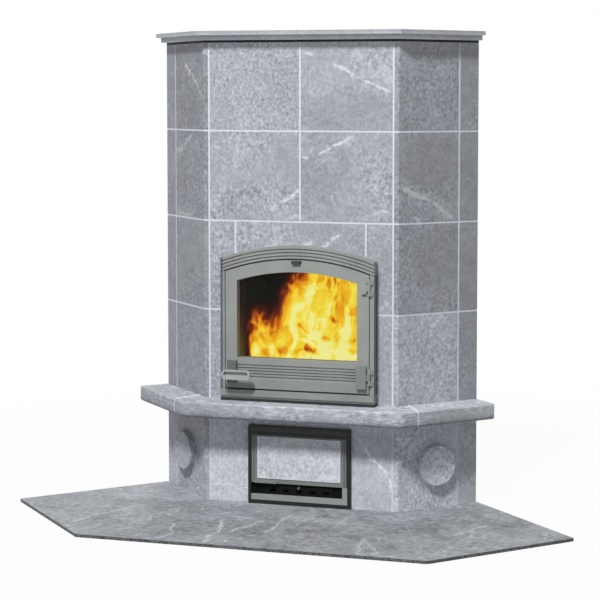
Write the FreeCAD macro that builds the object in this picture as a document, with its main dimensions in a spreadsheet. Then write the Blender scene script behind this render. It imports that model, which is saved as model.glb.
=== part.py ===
import FreeCAD, Part
import math
import os
import re
import Sketcher

# Corner masonry heater, millimetres, +Z up, front towards -Y, floor at z = 0.
# The plan is a pentagon: a front face, two side faces turned 45 degrees from it, and two back faces
# that stand against the walls of a room corner. The origin is the middle of the whole plan's box.

SIZES = {
    # tower plan and stone
    "front_width": 600,
    "corner_return": 18,
    "side_length": 290,
    "side_strip": 71,
    "cladding": 60,
    "joint": 6,
    "joint_recess": 0.6,
    # heights
    "base_height": 290,
    "bench_thickness": 50,
    "course_height": 283,
    # bench
    "bench_overhang": 100,
    "bench_joint_near": 38,
    "bench_joint_far": 12,
    "bench_corner": 20,
    "bench_top_round": 6,
    "bench_under_round": 12,
    # cornice
    "cornice_height": 28,
    "cornice_step": 15,
    "cornice_low": 20,
    "cornice_high": 38,
    "cornice_seat": 40,
    # hearth plate
    "hearth_reach": 515,
    "hearth_thickness": 10,
    "hearth_joint": 2,
    # soot plugs
    "plug_diameter": 128,
    "plug_proud": 20,
    "plug_edge": 3,
    "shank_diameter": 100,
    "shank_length": 55,
    "shank_clearance": 0.5,
    "plug_margin": 83,
    # fire door frame
    "fire_opening_height": 440,
    "door_margin": 50,
    "door_side": 450,
    "door_rise": 44,
    "door_proud": 36,
    "rim_width": 14,
    "flange": 10,
    "opening_lap": 37,
    "tunnel_lining": 14,
    "tunnel_level": 71,
    "tunnel_wall": 8,
    "tunnel_clearance": 1,
    "trim_height": 42,
    "trim_gap": 0.3,
    "trim_groove": 3.5,
    "trim_depth": 3,
    "sill_height": 36,
    "sill_step": 16,
    "sill_proud": 4,
    # fire door leaf
    "leaf_thickness": 22,
    "leaf_gap": 2.5,
    "leaf_lift": 5,
    "top_rail": 38,
    "stile": 38,
    "glass_level": 137,
    "glass_thickness": 4,
    "glass_gap": 0.5,
    "rebate": 5,
    "rebate_depth": 6,
    "retainer_lip": 2,
    "rope_width": 8,
    "rope_groove": 4,
    "rope_margin": 4,
    "rope_gap": 0.3,
    "ridge_level": 117,
    "ridge_pitch": 9,
    "ridge_groove": 4,
    "ridge_depth": 3,
    # fire door hinges
    "hinge_offset": 5,
    "knuckle_radius": 4.5,
    "knuckle_gap": 0.5,
    "knuckle_length": 20,
    "outer_knuckle": 14,
    "knuckle_foot": 10,
    "pin_radius": 2.5,
    "pin_clearance": 0.05,
    "pin_head": 3,
    "strap_inset": 10,
    "strap_width": 31,
    "strap_height": 71,
    "strap_proud": 10,
    "strap_level": 57,
    "upper_strap_width": 16,
    "upper_strap_height": 36,
    "upper_strap_proud": 8,
    "upper_strap_level": 352,
    # latch
    "lever_length": 96,
    "lever_height": 30,
    "lever_thickness": 12,
    "lever_gap": 22,
    "lever_slot": 14,
    "lever_slot_rise": 3,
    "lever_slot_depth": 8,
    "boss_radius": 10,
    "boss_gap": 0.5,
    "lever_level": 88,
    "spindle_radius": 4,
    "spindle_inset": 17,
    "cam_length": 14,
    "cam_height": 10,
    "cam_gap": 0.3,
    # airwash knob
    "airwash_width": 26,
    "airwash_height": 11,
    "airwash_proud": 6,
    "airwash_travel": 12,
    "airwash_stem": 8,
    "airwash_gap": 0.3,
    "airwash_drop": 8,
    "airwash_plate": 12,
    # ash door
    "pier_width": 132,
    "ash_proud": 12,
    "ash_depth": 40,
    "ash_rim": 10,
    "ash_foot": 13,
    "ash_sill": 18,
    "air_height": 36,
    "ash_head": 30,
    "ash_top_band": 59,
    "ash_leaf_gap": 1,
    "ash_side_gap": 2,
    "ash_leaf_thickness": 12,
    "ash_pocket": 14,
    "ash_stop": 12,
    "ash_stile": 19,
    "ash_bottom_rail": 14,
    "ash_top_rail": 4,
    "ash_panel_proud": 2,
    "ash_panel_depth": 9,
    "ash_panel_gap": 0.5,
    "ash_pull_width": 76,
    "ash_pull_height": 8,
    "ash_pull_proud": 6,
    "ash_pin_reach": 12,
    "ash_bracket": 16,
    # air inlet
    "grille_thickness": 4,
    "grille_rail": 4,
    "slide_thickness": 3,
    "slide_gap": 0.3,
    "slide_margin": 48,
    "slot_length": 20,
    "slot_height": 10,
    "slide_knob_radius": 4,
    "slide_knob_proud": 10,
    "slide_knob_drop": 10,
    # core
    "core_clearance": 56,
    "core_wall": 55,
    "core_rear_gap": 65,
    "floor_thickness": 50,
    "front_wall": 40,
    "smoke_gap": 90,
    "throat_level": 540,
    "throat_thickness": 40,
    "throat_front": 30,
    "throat_back": 60,
    "divider": 40,
    # grate and ash pan
    "grate_width": 180,
    "grate_rear_gap": 40,
    "grate_thickness": 20,
    "grate_setback": 50,
    "grate_ledge": 10,
    "grate_gap": 1,
    "grate_slot": 9,
    "grate_bar": 11,
    "grate_rim": 14,
    "pan_margin": 48,
    "pan_rear_gap": 20,
    "pan_height": 60,
    "pan_wall": 2,
    "pan_setback": 15,
    # flue socket
    "flue_bore": 161,
    "socket_wall": 5,
    "socket_depth": 60,
    "socket_stop": 6,
    "socket_flange": 18,
    "socket_clearance": 0.5,
    "flue_corner_gap": 263,
}

COURSES = 4
SIDE_ANGLE = 45
HANDS = {"right": 1, "left": -1}
TRIM_GROOVES = 3
RIDGE_GROOVES = 5
AIR_SLOTS = 5
GRATE_SLOTS = 7
SKETCH_START = 100  # radius of the rough polygon that the sketch constraints pull into shape
PAST = 5  # how far a cutting tool runs past the face it cuts

# Places worked out from the driving sizes, written in the sheet's own names
DIAGONAL = "sqrt(0.5)"
MITRE = "(sqrt(2) - 1)"
CORNER = "(front_width / 2 + corner_return)"
SIDE_RUN = f"(side_length * {DIAGONAL})"
WALL_LENGTH = f"(({CORNER} + {SIDE_RUN}) * sqrt(2))"
FRONT_LINE = f"((hearth_reach - {CORNER} - 2 * {SIDE_RUN}) / 2)"
BENCH_TOP = "(base_height + bench_thickness)"
TOWER_TOP = f"({BENCH_TOP} + {COURSES} * course_height)"
HEATER_TOP = f"({TOWER_TOP} + cornice_height)"
BLOCK_END = "(side_length - side_strip)"
PLUG_ALONG = f"({BLOCK_END} - plug_margin)"

DOOR_WIDTH = "(front_width - 2 * door_margin)"
FIRE_OPENING = f"({DOOR_WIDTH} - 2 * opening_lap)"
TUNNEL_WIDTH = f"({FIRE_OPENING} - 2 * tunnel_lining)"
GLASS_WIDTH = f"({DOOR_WIDTH} - 2 * (rim_width + leaf_gap + stile))"
ARCH_RADIUS = f"(({DOOR_WIDTH} ^ 2 / 4 + door_rise ^ 2) / (2 * door_rise))"
ARCH_PEAK = f"({BENCH_TOP} + door_side + door_rise)"
RIM_INSIDE = f"({DOOR_WIDTH} / 2 - rim_width)"
LEAF_HALF = f"({RIM_INSIDE} - leaf_gap)"
LEAF_BACK = "(leaf_thickness - door_proud)"
LEAF_INSET = "(trim_height + leaf_gap)"
WINDOW_INSET = f"({LEAF_INSET} + top_rail)"
HINGE_Y = "(-door_proud - hinge_offset)"
FLOOR_TOP = f"({BENCH_TOP} + tunnel_level)"
CORE_TOP = f"({TOWER_TOP} - smoke_gap)"
CORE_HALF = f"({CORNER} - core_clearance)"
CORE_INSIDE = f"({CORE_HALF} - core_wall)"
CORE_BACK = f"(2 * {SIDE_RUN} - core_rear_gap)"
FIREBOX_DEPTH = f"({CORE_BACK} - core_wall - cladding)"
GRATE_LENGTH = f"({FIREBOX_DEPTH} - grate_setback - grate_rear_gap)"
PAN_LENGTH = f"({FIREBOX_DEPTH} - pan_setback - pan_rear_gap)"

ASH_OPENING = "(front_width - 2 * pier_width)"
ASH_INSIDE = f"({ASH_OPENING} / 2 - ash_rim)"
ASH_SILL_BOTTOM = "(hearth_thickness + ash_foot)"
AIR_BOTTOM = f"({ASH_SILL_BOTTOM} + ash_sill)"
AIR_TOP = f"({AIR_BOTTOM} + air_height)"
ASH_LEAF_BOTTOM = f"({AIR_TOP} + ash_leaf_gap)"
ASH_FRAME_TOP = "(base_height - ash_head)"
ASH_POCKET_TOP = "(base_height - ash_top_band)"
ASH_LEAF_TOP = f"({ASH_POCKET_TOP} - ash_leaf_gap)"
ASH_POCKET_BACK = "(ash_pocket - ash_proud)"
ASH_LEAF_BACK = "(ash_leaf_thickness - ash_proud)"
ASH_HINGE_X = f"({ASH_INSIDE} - ash_side_gap - ash_leaf_thickness / 2)"
ASH_HINGE_Y = "(ash_leaf_thickness / 2 - ash_proud)"
SLIDE_LENGTH = f"(2 * ({ASH_INSIDE} - slide_margin))"
PAN_WIDTH = f"({ASH_OPENING} - 2 * pan_margin)"

doc = FreeCAD.newDocument("corner_heater")
nodes = []


def fill_sheet():
    sheet = doc.addObject("Spreadsheet::Sheet", "Sizes")
    for row, (alias, number) in enumerate(SIZES.items(), start=1):
        sheet.set(f"A{row}", alias)
        sheet.set(f"B{row}", str(number))
        sheet.setAlias(f"B{row}", alias)
    doc.recompute()


def bind(target, prop, formula):
    """Tie a property to the sheet; the formula uses the sheet's names without its prefix."""
    def linked(word):
        return "Sizes." + word.group() if word.group() in SIZES else word.group()
    target.setExpression(prop, re.sub(r"[a-z]+(?:_[a-z]+)*", linked, formula))


def node(label, piece):
    piece.Label = label
    nodes.append(piece)
    return piece


def group(label, pieces):
    return node(label, bundle(label, pieces))


def about(centre, width):
    return f"({centre}) - ({width}) / 2", f"({centre}) + ({width}) / 2"


def upward(low, height):
    return low, f"({low}) + ({height})"


# Bodies padded from a plan outline

def outline_sketch(body, outline, level):
    """A closed outline on the body's XY plane; each corner is held by its two distances."""
    plane = next(feature for feature in body.Origin.OriginFeatures if feature.Role == "XY_Plane")
    sketch = body.newObject("Sketcher::SketchObject", "Outline")
    sketch.AttachmentSupport = [(plane, "")]
    sketch.MapMode = "FlatFace"
    bind(sketch, "AttachmentOffset.Base.z", level)
    count = len(outline)
    turns = [2 * math.pi * corner / count for corner in range(count)]
    corners = [FreeCAD.Vector(math.cos(turn), math.sin(turn), 0) * SKETCH_START for turn in turns]
    for corner in range(count):
        sketch.addGeometry(Part.LineSegment(corners[corner], corners[(corner + 1) % count]), False)
    for corner in range(count):
        sketch.addConstraint(Sketcher.Constraint("Coincident", corner, 2, (corner + 1) % count, 1))
    for corner, formulas in enumerate(outline):
        starts = (corners[corner].x, corners[corner].y)
        for kind, formula, start in zip(("DistanceX", "DistanceY"), formulas, starts):
            held = sketch.addConstraint(Sketcher.Constraint(kind, -1, 1, corner, 1, start))
            bind(sketch, f"Constraints[{held}]", formula)
    return sketch


def pad_outline(body, outline, bottom, top):
    pad = body.newObject("PartDesign::Pad", "Pad")
    pad.Profile = outline_sketch(body, outline, bottom)
    bind(pad, "Length", f"({top}) - ({bottom})")
    return pad


def front_body(name, outline, bottom, top):
    """A prism in the front frame: x across the front face, y inwards from it."""
    body = doc.addObject("PartDesign::Body", name)
    pad_outline(body, outline, bottom, top)
    bind(body, "Placement.Base.y", FRONT_LINE)
    return body


def side_points(hand, outline):
    return [(f"{hand} * ({along})", inward) for along, inward in outline]


def side_body(name, hand, outline, bottom, top):
    """A prism in a side frame: x along the side face from the front corner, y inwards from it."""
    body = doc.addObject("PartDesign::Body", name)
    pad_outline(body, side_points(hand, outline), bottom, top)
    turn = FreeCAD.Rotation(FreeCAD.Vector(0, 0, 1), hand * SIDE_ANGLE)
    body.Placement = FreeCAD.Placement(FreeCAD.Vector(), turn)
    bind(body, "Placement.Base.x", f"{hand} * {CORNER}")
    bind(body, "Placement.Base.y", FRONT_LINE)
    return body


def rectangle(across, inward):
    return [(across[0], inward[0]), (across[1], inward[0]), (across[1], inward[1]), (across[0], inward[1])]


def round_edges(body, radius, chosen):
    doc.recompute()
    tip = body.Tip
    picked = [f"Edge{index}" for index, edge in enumerate(tip.Shape.Edges, start=1) if chosen(edge)]
    fillet = body.newObject("PartDesign::Fillet", "Round")
    fillet.Base = (tip, picked)
    bind(fillet, "Radius", radius)
    return fillet


# Primitives in the front frame

def block(name, across, inward, upright):
    box = doc.addObject("Part::Box", name)
    spans = (("Length", "x", across, ""), ("Width", "y", inward, f"{FRONT_LINE} + "),
             ("Height", "z", upright, ""))
    for prop, axis, (low, high), shift in spans:
        bind(box, prop, f"({high}) - ({low})")
        bind(box, f"Placement.Base.{axis}", f"{shift}({low})")
    return box


def cylinder(name, radius, length, spot, direction, start_radius=None):
    """A round bar from a spot along a direction, tapered when it starts with another radius."""
    drum = doc.addObject("Part::Cone" if start_radius else "Part::Cylinder", name)
    turn = FreeCAD.Rotation(FreeCAD.Vector(0, 0, 1), FreeCAD.Vector(*direction))
    drum.Placement = FreeCAD.Placement(FreeCAD.Vector(), turn)
    if start_radius:
        bind(drum, "Radius1", start_radius)
        bind(drum, "Radius2", radius)
    else:
        bind(drum, "Radius", radius)
    bind(drum, "Height", length)
    across, inward, level = spot
    bind(drum, "Placement.Base.x", across)
    bind(drum, "Placement.Base.y", f"{FRONT_LINE} + ({inward})")
    bind(drum, "Placement.Base.z", level)
    return drum


def upright_pin(name, radius, spot, upright):
    low, high = upright
    return cylinder(name, radius, f"({high}) - ({low})", (spot[0], spot[1], low), (0, 0, 1))


def inward_pin(name, radius, spot, inward):
    """A cylinder along Y; spot is its place across the front and its level."""
    low, high = inward
    return cylinder(name, radius, f"({high}) - ({low})", (spot[0], low, spot[1]), (0, 1, 0))


def cut(name, base, *tools):
    for tool in tools:
        result = doc.addObject("Part::Cut", name)
        result.Base = base
        result.Tool = tool
        base = result
    return base


def fuse(name, *pieces):
    joined = doc.addObject("Part::MultiFuse", name)
    joined.Shapes = list(pieces)
    joined.Refine = True
    return joined


def bundle(name, pieces):
    loose = doc.addObject("Part::Compound", name)
    loose.Links = pieces
    return loose


def arched(name, half, inset, inward, bottom):
    """A plate whose top is the door's arch, moved in by inset; all arches share one centre."""
    low, high = inward
    slab = block(f"{name}_slab", (f"-({half})", half), inward, (bottom, f"{ARCH_PEAK} + {PAST}"))
    centre = f"{ARCH_PEAK} - {ARCH_RADIUS}"
    drum = inward_pin(f"{name}_arch", f"{ARCH_RADIUS} - ({inset})", ("0", centre), (low, high))
    plate = doc.addObject("Part::Common", name)
    plate.Base = slab
    plate.Tool = drum
    return plate


# Stone

def course_span(course):
    """Lowest and highest level of a tower course, less half a joint where another course meets it."""
    low = f"{BENCH_TOP} + {course - 1} * course_height"
    high = f"{BENCH_TOP} + {course} * course_height"
    if course > 1:
        low += " + joint / 2"
    if course < COURSES:
        high += " - joint / 2"
    return low, high


def pair(label, across, inward, upright):
    """Two equal blocks, one each side of the middle."""
    low, high = across
    blocks = [block(f"{label}_right", across, inward, upright)]
    blocks.append(block(f"{label}_left", (f"-({high})", f"-({low})"), inward, upright))
    return blocks


def make_hearth():
    slack = f"hearth_joint / 2 / cos({SIDE_ANGLE / 2})"
    flare = f"hearth_reach * {MITRE}"
    upright = ("0", "hearth_thickness")
    near = f"({CORNER} - {slack})"
    far = f"({CORNER} + {flare} - {slack})"
    front = [(f"-{far}", "-hearth_reach"), (far, "-hearth_reach"), (near, "0"), (f"-{near}", "0")]
    node("hearth_front_slab", front_body("hearth_front", front, *upright))
    side = [(slack, "0"), (f"{slack} - {flare}", "-hearth_reach"),
            ("side_length", "-hearth_reach"), ("side_length", "0")]
    for word, hand in HANDS.items():
        node(f"hearth_{word}_slab", side_body(f"hearth_{word}", hand, side, *upright))


def corner_block_outline():
    """A side block that turns the front corner and shows its end as a narrow return on the front."""
    back = "(corner_return - joint / 2)"
    return [(f"-{back} * {DIAGONAL}", f"{back} * {DIAGONAL}"), ("0", "0"), (f"{BLOCK_END} - joint / 2", "0"),
            (f"{BLOCK_END} - joint / 2", "cladding"), (f"cladding - sqrt(2) * {back}", "cladding")]


def plug_spot(hand, offset):
    """The plug's centre on a side face, moved out along the face's normal by offset."""
    across = f"{hand} * ({CORNER} + ({PLUG_ALONG} + {offset}) * {DIAGONAL})"
    return across, f"({PLUG_ALONG} - ({offset})) * {DIAGONAL}", "base_height / 2"


def make_base():
    across = (f"{ASH_OPENING} / 2", "front_width / 2 - joint / 2")
    piers = pair("pier", across, ("0", "cladding"), ("0", "base_height"))
    piers.append(block("pier_head", about("0", ASH_OPENING), ("0", "cladding"), (ASH_FRAME_TOP, "base_height")))
    group("base_piers", piers)
    for word, hand in HANDS.items():
        stone = side_body(f"base_{word}", hand, corner_block_outline(), "0", "base_height")
        inwards = (-hand, 1, 0)
        hole = cylinder(f"hole_{word}", "shank_diameter / 2 + shank_clearance", f"cladding + 2 * {PAST}",
                        plug_spot(hand, f"{PAST}"), inwards)
        node(f"base_{word}_side_block", cut(f"base_{word}_block", stone, hole))
        face = plug_spot(hand, "plug_proud")
        rim = cylinder(f"rim_{word}", "plug_diameter / 2", "plug_edge", face, inwards,
                       "plug_diameter / 2 - plug_edge")
        disc = cylinder(f"disc_{word}", "plug_diameter / 2", "plug_proud - plug_edge",
                        plug_spot(hand, "plug_proud - plug_edge"), inwards)
        shank = cylinder(f"shank_{word}", "shank_diameter / 2", "shank_length", plug_spot(hand, "0"), inwards)
        node(f"{word}_soot_plug", fuse(f"plug_{word}", rim, disc, shank))


def make_tower_sides():
    strip = rectangle((f"{BLOCK_END} + joint / 2", "side_length"), ("0", "cladding"))
    back = [("side_length", "cladding"), ("side_length", WALL_LENGTH),
            ("side_length - cladding", f"{WALL_LENGTH} - cladding"), ("side_length - cladding", "cladding")]
    spans = [course_span(course) for course in range(1, COURSES + 1)]
    for word, hand in HANDS.items():
        blocks = [side_body(f"side_{word}", hand, corner_block_outline(), *span) for span in spans]
        group(f"{word}_side_blocks", blocks)
        strips = [side_body(f"strip_{word}", hand, strip, *span) for span in [("0", "base_height")] + spans]
        group(f"{word}_edge_strips", strips)
        slabs = [side_body(f"back_{word}", hand, back, *span) for span in [("0", BENCH_TOP)] + spans]
        group(f"{word}_back_slabs", slabs)


def make_tower_front():
    inward = ("0", "cladding")
    jamb = (f"{FIRE_OPENING} / 2 + joint / 2", "front_width / 2 - joint / 2")
    half_front = ("joint / 2", "front_width / 2 - joint / 2")
    group("door_jambs", pair("jamb", jamb, inward, course_span(1)))
    group("lintel_end_blocks", pair("lintel_end", jamb, inward, course_span(2)))
    reach = f"{FIRE_OPENING} / 2 - joint / 2"
    lintel = (f"{BENCH_TOP} + fire_opening_height", course_span(2)[1])
    node("door_lintel_block", block("lintel", (f"-({reach})", reach), inward, lintel))
    upper = [pair(f"upper_{course}", half_front, inward, course_span(course)) for course in (3, 4)]
    group("upper_front_blocks", upper[0] + upper[1])
    under_tunnel = (BENCH_TOP, f"{FLOOR_TOP} - tunnel_wall")
    node("threshold_block", block("threshold", (f"-({reach})", reach), inward, under_tunnel))


def make_joints(fillers):
    """Mortar between the courses, and between the blocks of each course with the bench's fillers."""
    edge = "joint_recess"
    mitre = [(f"{CORNER} - {edge} * {MITRE}", edge), (f"{CORNER} - cladding * {MITRE}", "cladding")]
    starts = {course: "0" for course in range(1, COURSES)}
    starts[1] = f"{FIRE_OPENING} / 2 + joint / 2"  # the fire door's opening breaks the lowest joint
    side = [(f"{edge} * {MITRE}", edge), ("side_length", edge), ("side_length", "cladding"),
            (f"cladding * {MITRE}", "cladding")]
    back = [(f"side_length - {edge}", "cladding"), (f"side_length - {edge}", f"{WALL_LENGTH} - {edge}"),
            ("side_length - cladding", f"{WALL_LENGTH} - cladding"), ("side_length - cladding", "cladding")]
    beds = []
    for course in range(1, COURSES):
        span = about(f"{BENCH_TOP} + {course} * course_height", "joint")
        front = [(starts[course], edge), *mitre, (starts[course], "cladding")]
        for hand in HANDS.values():
            beds.append(front_body("bed_front", side_points(hand, front), *span))
            beds.append(side_body("bed_side", hand, side, *span))
            beds.append(side_body("bed_back", hand, back, *span))
    group("bed_joints", beds)

    inward = (edge, "cladding")
    base = ("0", "base_height")
    spans = {course: course_span(course) for course in range(1, COURSES + 1)}
    heads = list(fillers)
    for span in [base, *spans.values()]:
        heads += pair("corner_joint", about("front_width / 2", "joint"), inward, span)
        for hand in HANDS.values():
            slot = rectangle(about(BLOCK_END, "joint"), inward)
            heads.append(side_body("strip_joint", hand, slot, *span))
    over_door = (f"{BENCH_TOP} + fire_opening_height", spans[2][1])
    heads += pair("lintel_joint", about(f"{FIRE_OPENING} / 2", "joint"), inward, over_door)
    for course in (3, 4):
        heads.append(block("middle_joint", about("0", "joint"), inward, spans[course]))
    group("head_joints", heads)


def bench_line(depth):
    """Where the bench's cross joint is along a side face, at a depth in from it (negative is out)."""
    return f"(bench_joint_near + (bench_joint_near - bench_joint_far) * ({depth}) / bench_overhang)"


def bench_end(shift, depth):
    """A point of that joint in the front frame, moved along the side by shift."""
    along = f"({bench_line(depth)} + ({shift}))"
    return f"({CORNER} + ({along} - ({depth})) * {DIAGONAL})", f"(({along} + ({depth})) * {DIAGONAL})"


def make_bench():
    bottom = "base_height"
    out = "-bench_overhang"
    nose = f"({CORNER} + bench_overhang * {MITRE})"
    heel = f"({CORNER} - cladding * {MITRE})"
    far, near = bench_end("-joint / 2", out), bench_end("-joint / 2", "cladding")
    front = [(f"-{far[0]}", far[1]), (f"-{nose}", out), (nose, out), far, near,
             (heel, "cladding"), (f"-{heel}", "cladding"), (f"-{near[0]}", near[1])]
    slab = front_body("bench_front", front, bottom, BENCH_TOP)
    reach = SIZES["bench_overhang"]
    round_edges(slab, "bench_corner", lambda edge: is_nose(edge, reach))
    round_bench(slab, lambda edge: front_offset(edge) > reach - SIZES["bench_corner"] / 2)
    node("bench_front_slab", slab)

    joints = []
    for word, hand in HANDS.items():
        side = [(f"{bench_line(out)} + joint / 2", out), ("side_length", out),
                ("side_length", "cladding"), (f"{bench_line('cladding')} + joint / 2", "cladding")]
        slab = side_body(f"bench_{word}", hand, side, bottom, BENCH_TOP)
        round_bench(slab, lambda edge: middle(edge).y < 1 - reach)
        node(f"bench_{word}_slab", slab)
        inset = f"{out} + joint_recess"
        line = [(f"{bench_line(inset)} {sign} joint / 2", inset) for sign in "-+"]
        line += [(f"{bench_line('cladding')} {sign} joint / 2", "cladding") for sign in "+-"]
        filler = side_body(f"bench_joint_{word}", hand, line, bottom, BENCH_TOP)
        round_bench(filler, lambda edge: middle(edge).y < 1 + SIZES["joint_recess"] - reach)
        joints.append(filler)
    return joints


def middle(edge):
    return edge.valueAt((edge.FirstParameter + edge.LastParameter) / 2)


def is_upright(edge):
    ends = [vertex.Point for vertex in edge.Vertexes]
    return abs(ends[0].z - ends[-1].z) > 1


def is_nose(edge, reach):
    """One of the two upright edges where the bench turns from the front to a side."""
    return is_upright(edge) and front_offset(edge) > reach - 1 and middle(edge).y < 1 - reach


def front_offset(edge):
    """How far outside the tower's front and side faces an edge's middle lies."""
    spot = middle(edge)
    corner = SIZES["front_width"] / 2 + SIZES["corner_return"]
    return max(-spot.y, (abs(spot.x) - corner - spot.y) * math.sqrt(0.5))


def round_bench(body, outer):
    """Round a bench slab's outer long edges, a little above and more below."""
    top = SIZES["base_height"] + SIZES["bench_thickness"]
    low = SIZES["base_height"]
    round_edges(body, "bench_top_round",
                lambda edge: not is_upright(edge) and abs(middle(edge).z - top) < 0.1 and outer(edge))
    round_edges(body, "bench_under_round",
                lambda edge: not is_upright(edge) and abs(middle(edge).z - low) < 0.1 and outer(edge))


def make_cornice():
    def front_outline(out):
        nose = f"({CORNER} + {out} * {MITRE})"
        heel = f"({CORNER} - cornice_seat * {MITRE})"
        return [(f"-{nose}", f"-{out}"), (nose, f"-{out}"),
                (heel, "cornice_seat"), (f"-{heel}", "cornice_seat")]

    def side_outline(out):
        return [(f"-{out} * {MITRE}", f"-{out}"), ("side_length", f"-{out}"),
                ("side_length", "cornice_seat"), (f"cornice_seat * {MITRE}", "cornice_seat")]

    step = f"{TOWER_TOP} + cornice_step"
    piece = front_body("cornice_front_piece", front_outline("cornice_low"), TOWER_TOP, step)
    pad_outline(piece, front_outline("cornice_high"), step, HEATER_TOP)
    node("cornice_front", piece)
    for word, hand in HANDS.items():
        piece = side_body(f"cornice_{word}_piece", hand, side_outline("cornice_low"), TOWER_TOP, step)
        pad_outline(piece, side_points(hand, side_outline("cornice_high")), step, HEATER_TOP)
        node(f"cornice_{word}", piece)


def make_top():
    spot = ("0", f"{CORNER} + 2 * {SIDE_RUN} - flue_corner_gap")
    bore = "flue_bore / 2"
    wall = f"{bore} + socket_wall"
    heel = f"({CORNER} - cornice_seat * {MITRE})"
    wing = f"({CORNER} + (side_length - cornice_seat) * {DIAGONAL})"
    wing_back = f"((side_length + cornice_seat) * {DIAGONAL})"
    outline = [(f"-{heel}", "cornice_seat"), (heel, "cornice_seat"), (wing, wing_back),
               ("0", f"{CORNER} + 2 * {SIDE_RUN}"), (f"-{wing}", wing_back)]
    slab = front_body("top_plate", outline, TOWER_TOP, HEATER_TOP)
    hole = upright_pin("flue_hole", f"{wall} + socket_clearance", spot,
                       (f"{TOWER_TOP} - {PAST}", f"{HEATER_TOP} + {PAST}"))
    node("top_slab", cut("top_plate_cut", slab, hole))

    foot = f"{HEATER_TOP} - socket_depth"
    tube = upright_pin("socket_tube", wall, spot, (foot, HEATER_TOP))
    collar = upright_pin("socket_collar", f"{wall} + socket_flange", spot,
                         (f"{TOWER_TOP} - socket_wall", TOWER_TOP))
    seat = upright_pin("socket_bore", bore, spot, (f"{foot} + socket_stop", f"{HEATER_TOP} + {PAST}"))
    passage = upright_pin("socket_passage", f"{bore} - socket_stop", spot,
                          (f"{foot} - {PAST}", f"{HEATER_TOP} + {PAST}"))
    node("flue_socket", cut("socket", fuse("socket_body", tube, collar), seat, passage))


# Fire door

def make_door_frame():
    sill_top = f"{BENCH_TOP} + sill_height"
    proud = ("-door_proud", "0")
    plate = arched("frame_plate", f"{DOOR_WIDTH} / 2", "trim_height + trim_gap", proud, sill_top)
    pocket = arched("frame_pocket", RIM_INSIDE, "0", (f"-door_proud - {PAST}", "-flange"),
                    f"{sill_top} - {PAST}")
    tunnel_half = f"{FIRE_OPENING} / 2 - joint / 2 - tunnel_clearance"
    tunnel_top = f"{BENCH_TOP} + fire_opening_height - tunnel_clearance"
    tunnel = block("tunnel", (f"-({tunnel_half})", tunnel_half), ("0", "cladding"),
                   (f"{FLOOR_TOP} - tunnel_wall", tunnel_top))
    opening = arched("frame_opening", f"{TUNNEL_WIDTH} / 2", WINDOW_INSET,
                     (f"-flange - {PAST}", f"cladding + {PAST}"), FLOOR_TOP)
    casting = fuse("frame_casting", cut("frame_rim", plate, pocket), tunnel)
    node("fire_door_frame", cut("frame", casting, opening))

    across = about("0", DOOR_WIDTH)
    step = f"{BENCH_TOP} + sill_step"
    lower = block("sill_lower", across, proud, (BENCH_TOP, step))
    upper = block("sill_upper", across, ("-door_proud - sill_proud", "0"), (step, sill_top))
    node("fire_door_sill", fuse("sill", lower, upper))

    band = arched("trim_band", f"{DOOR_WIDTH} / 2", "0", proud, f"{BENCH_TOP} + door_side - 2 * trim_height")
    centre = f"{ARCH_PEAK} - {ARCH_RADIUS}"
    inner = inward_pin("trim_inner", f"{ARCH_RADIUS} - trim_height", ("0", centre),
                       (f"-door_proud - {PAST}", f"{PAST}"))
    grooves = []
    for groove in range(1, TRIM_GROOVES + 1):
        mid = f"trim_height * {groove} / {TRIM_GROOVES + 1}"
        reach = (f"-door_proud - {PAST}", "trim_depth - door_proud")
        outside = inward_pin("groove_outer", f"{ARCH_RADIUS} - {mid} + trim_groove / 2", ("0", centre), reach)
        inside = inward_pin("groove_inner", f"{ARCH_RADIUS} - {mid} - trim_groove / 2", ("0", centre), reach)
        grooves.append(cut("groove", outside, inside))
    node("arch_trim", cut("trim", band, inner, *grooves))


def arched_ring(name, half, inset, width, inward, bottom):
    """A flat ring along the window: its inner edge is the given outline, width is its breadth."""
    low, high = inward
    outside = arched(f"{name}_outside", f"{half} + {width}", f"{inset} - {width}", inward,
                     f"{bottom} - {width}")
    inside = arched(f"{name}_inside", half, inset, (f"{low} - {PAST}", f"{high} + {PAST}"), bottom)
    return cut(name, outside, inside)


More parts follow.
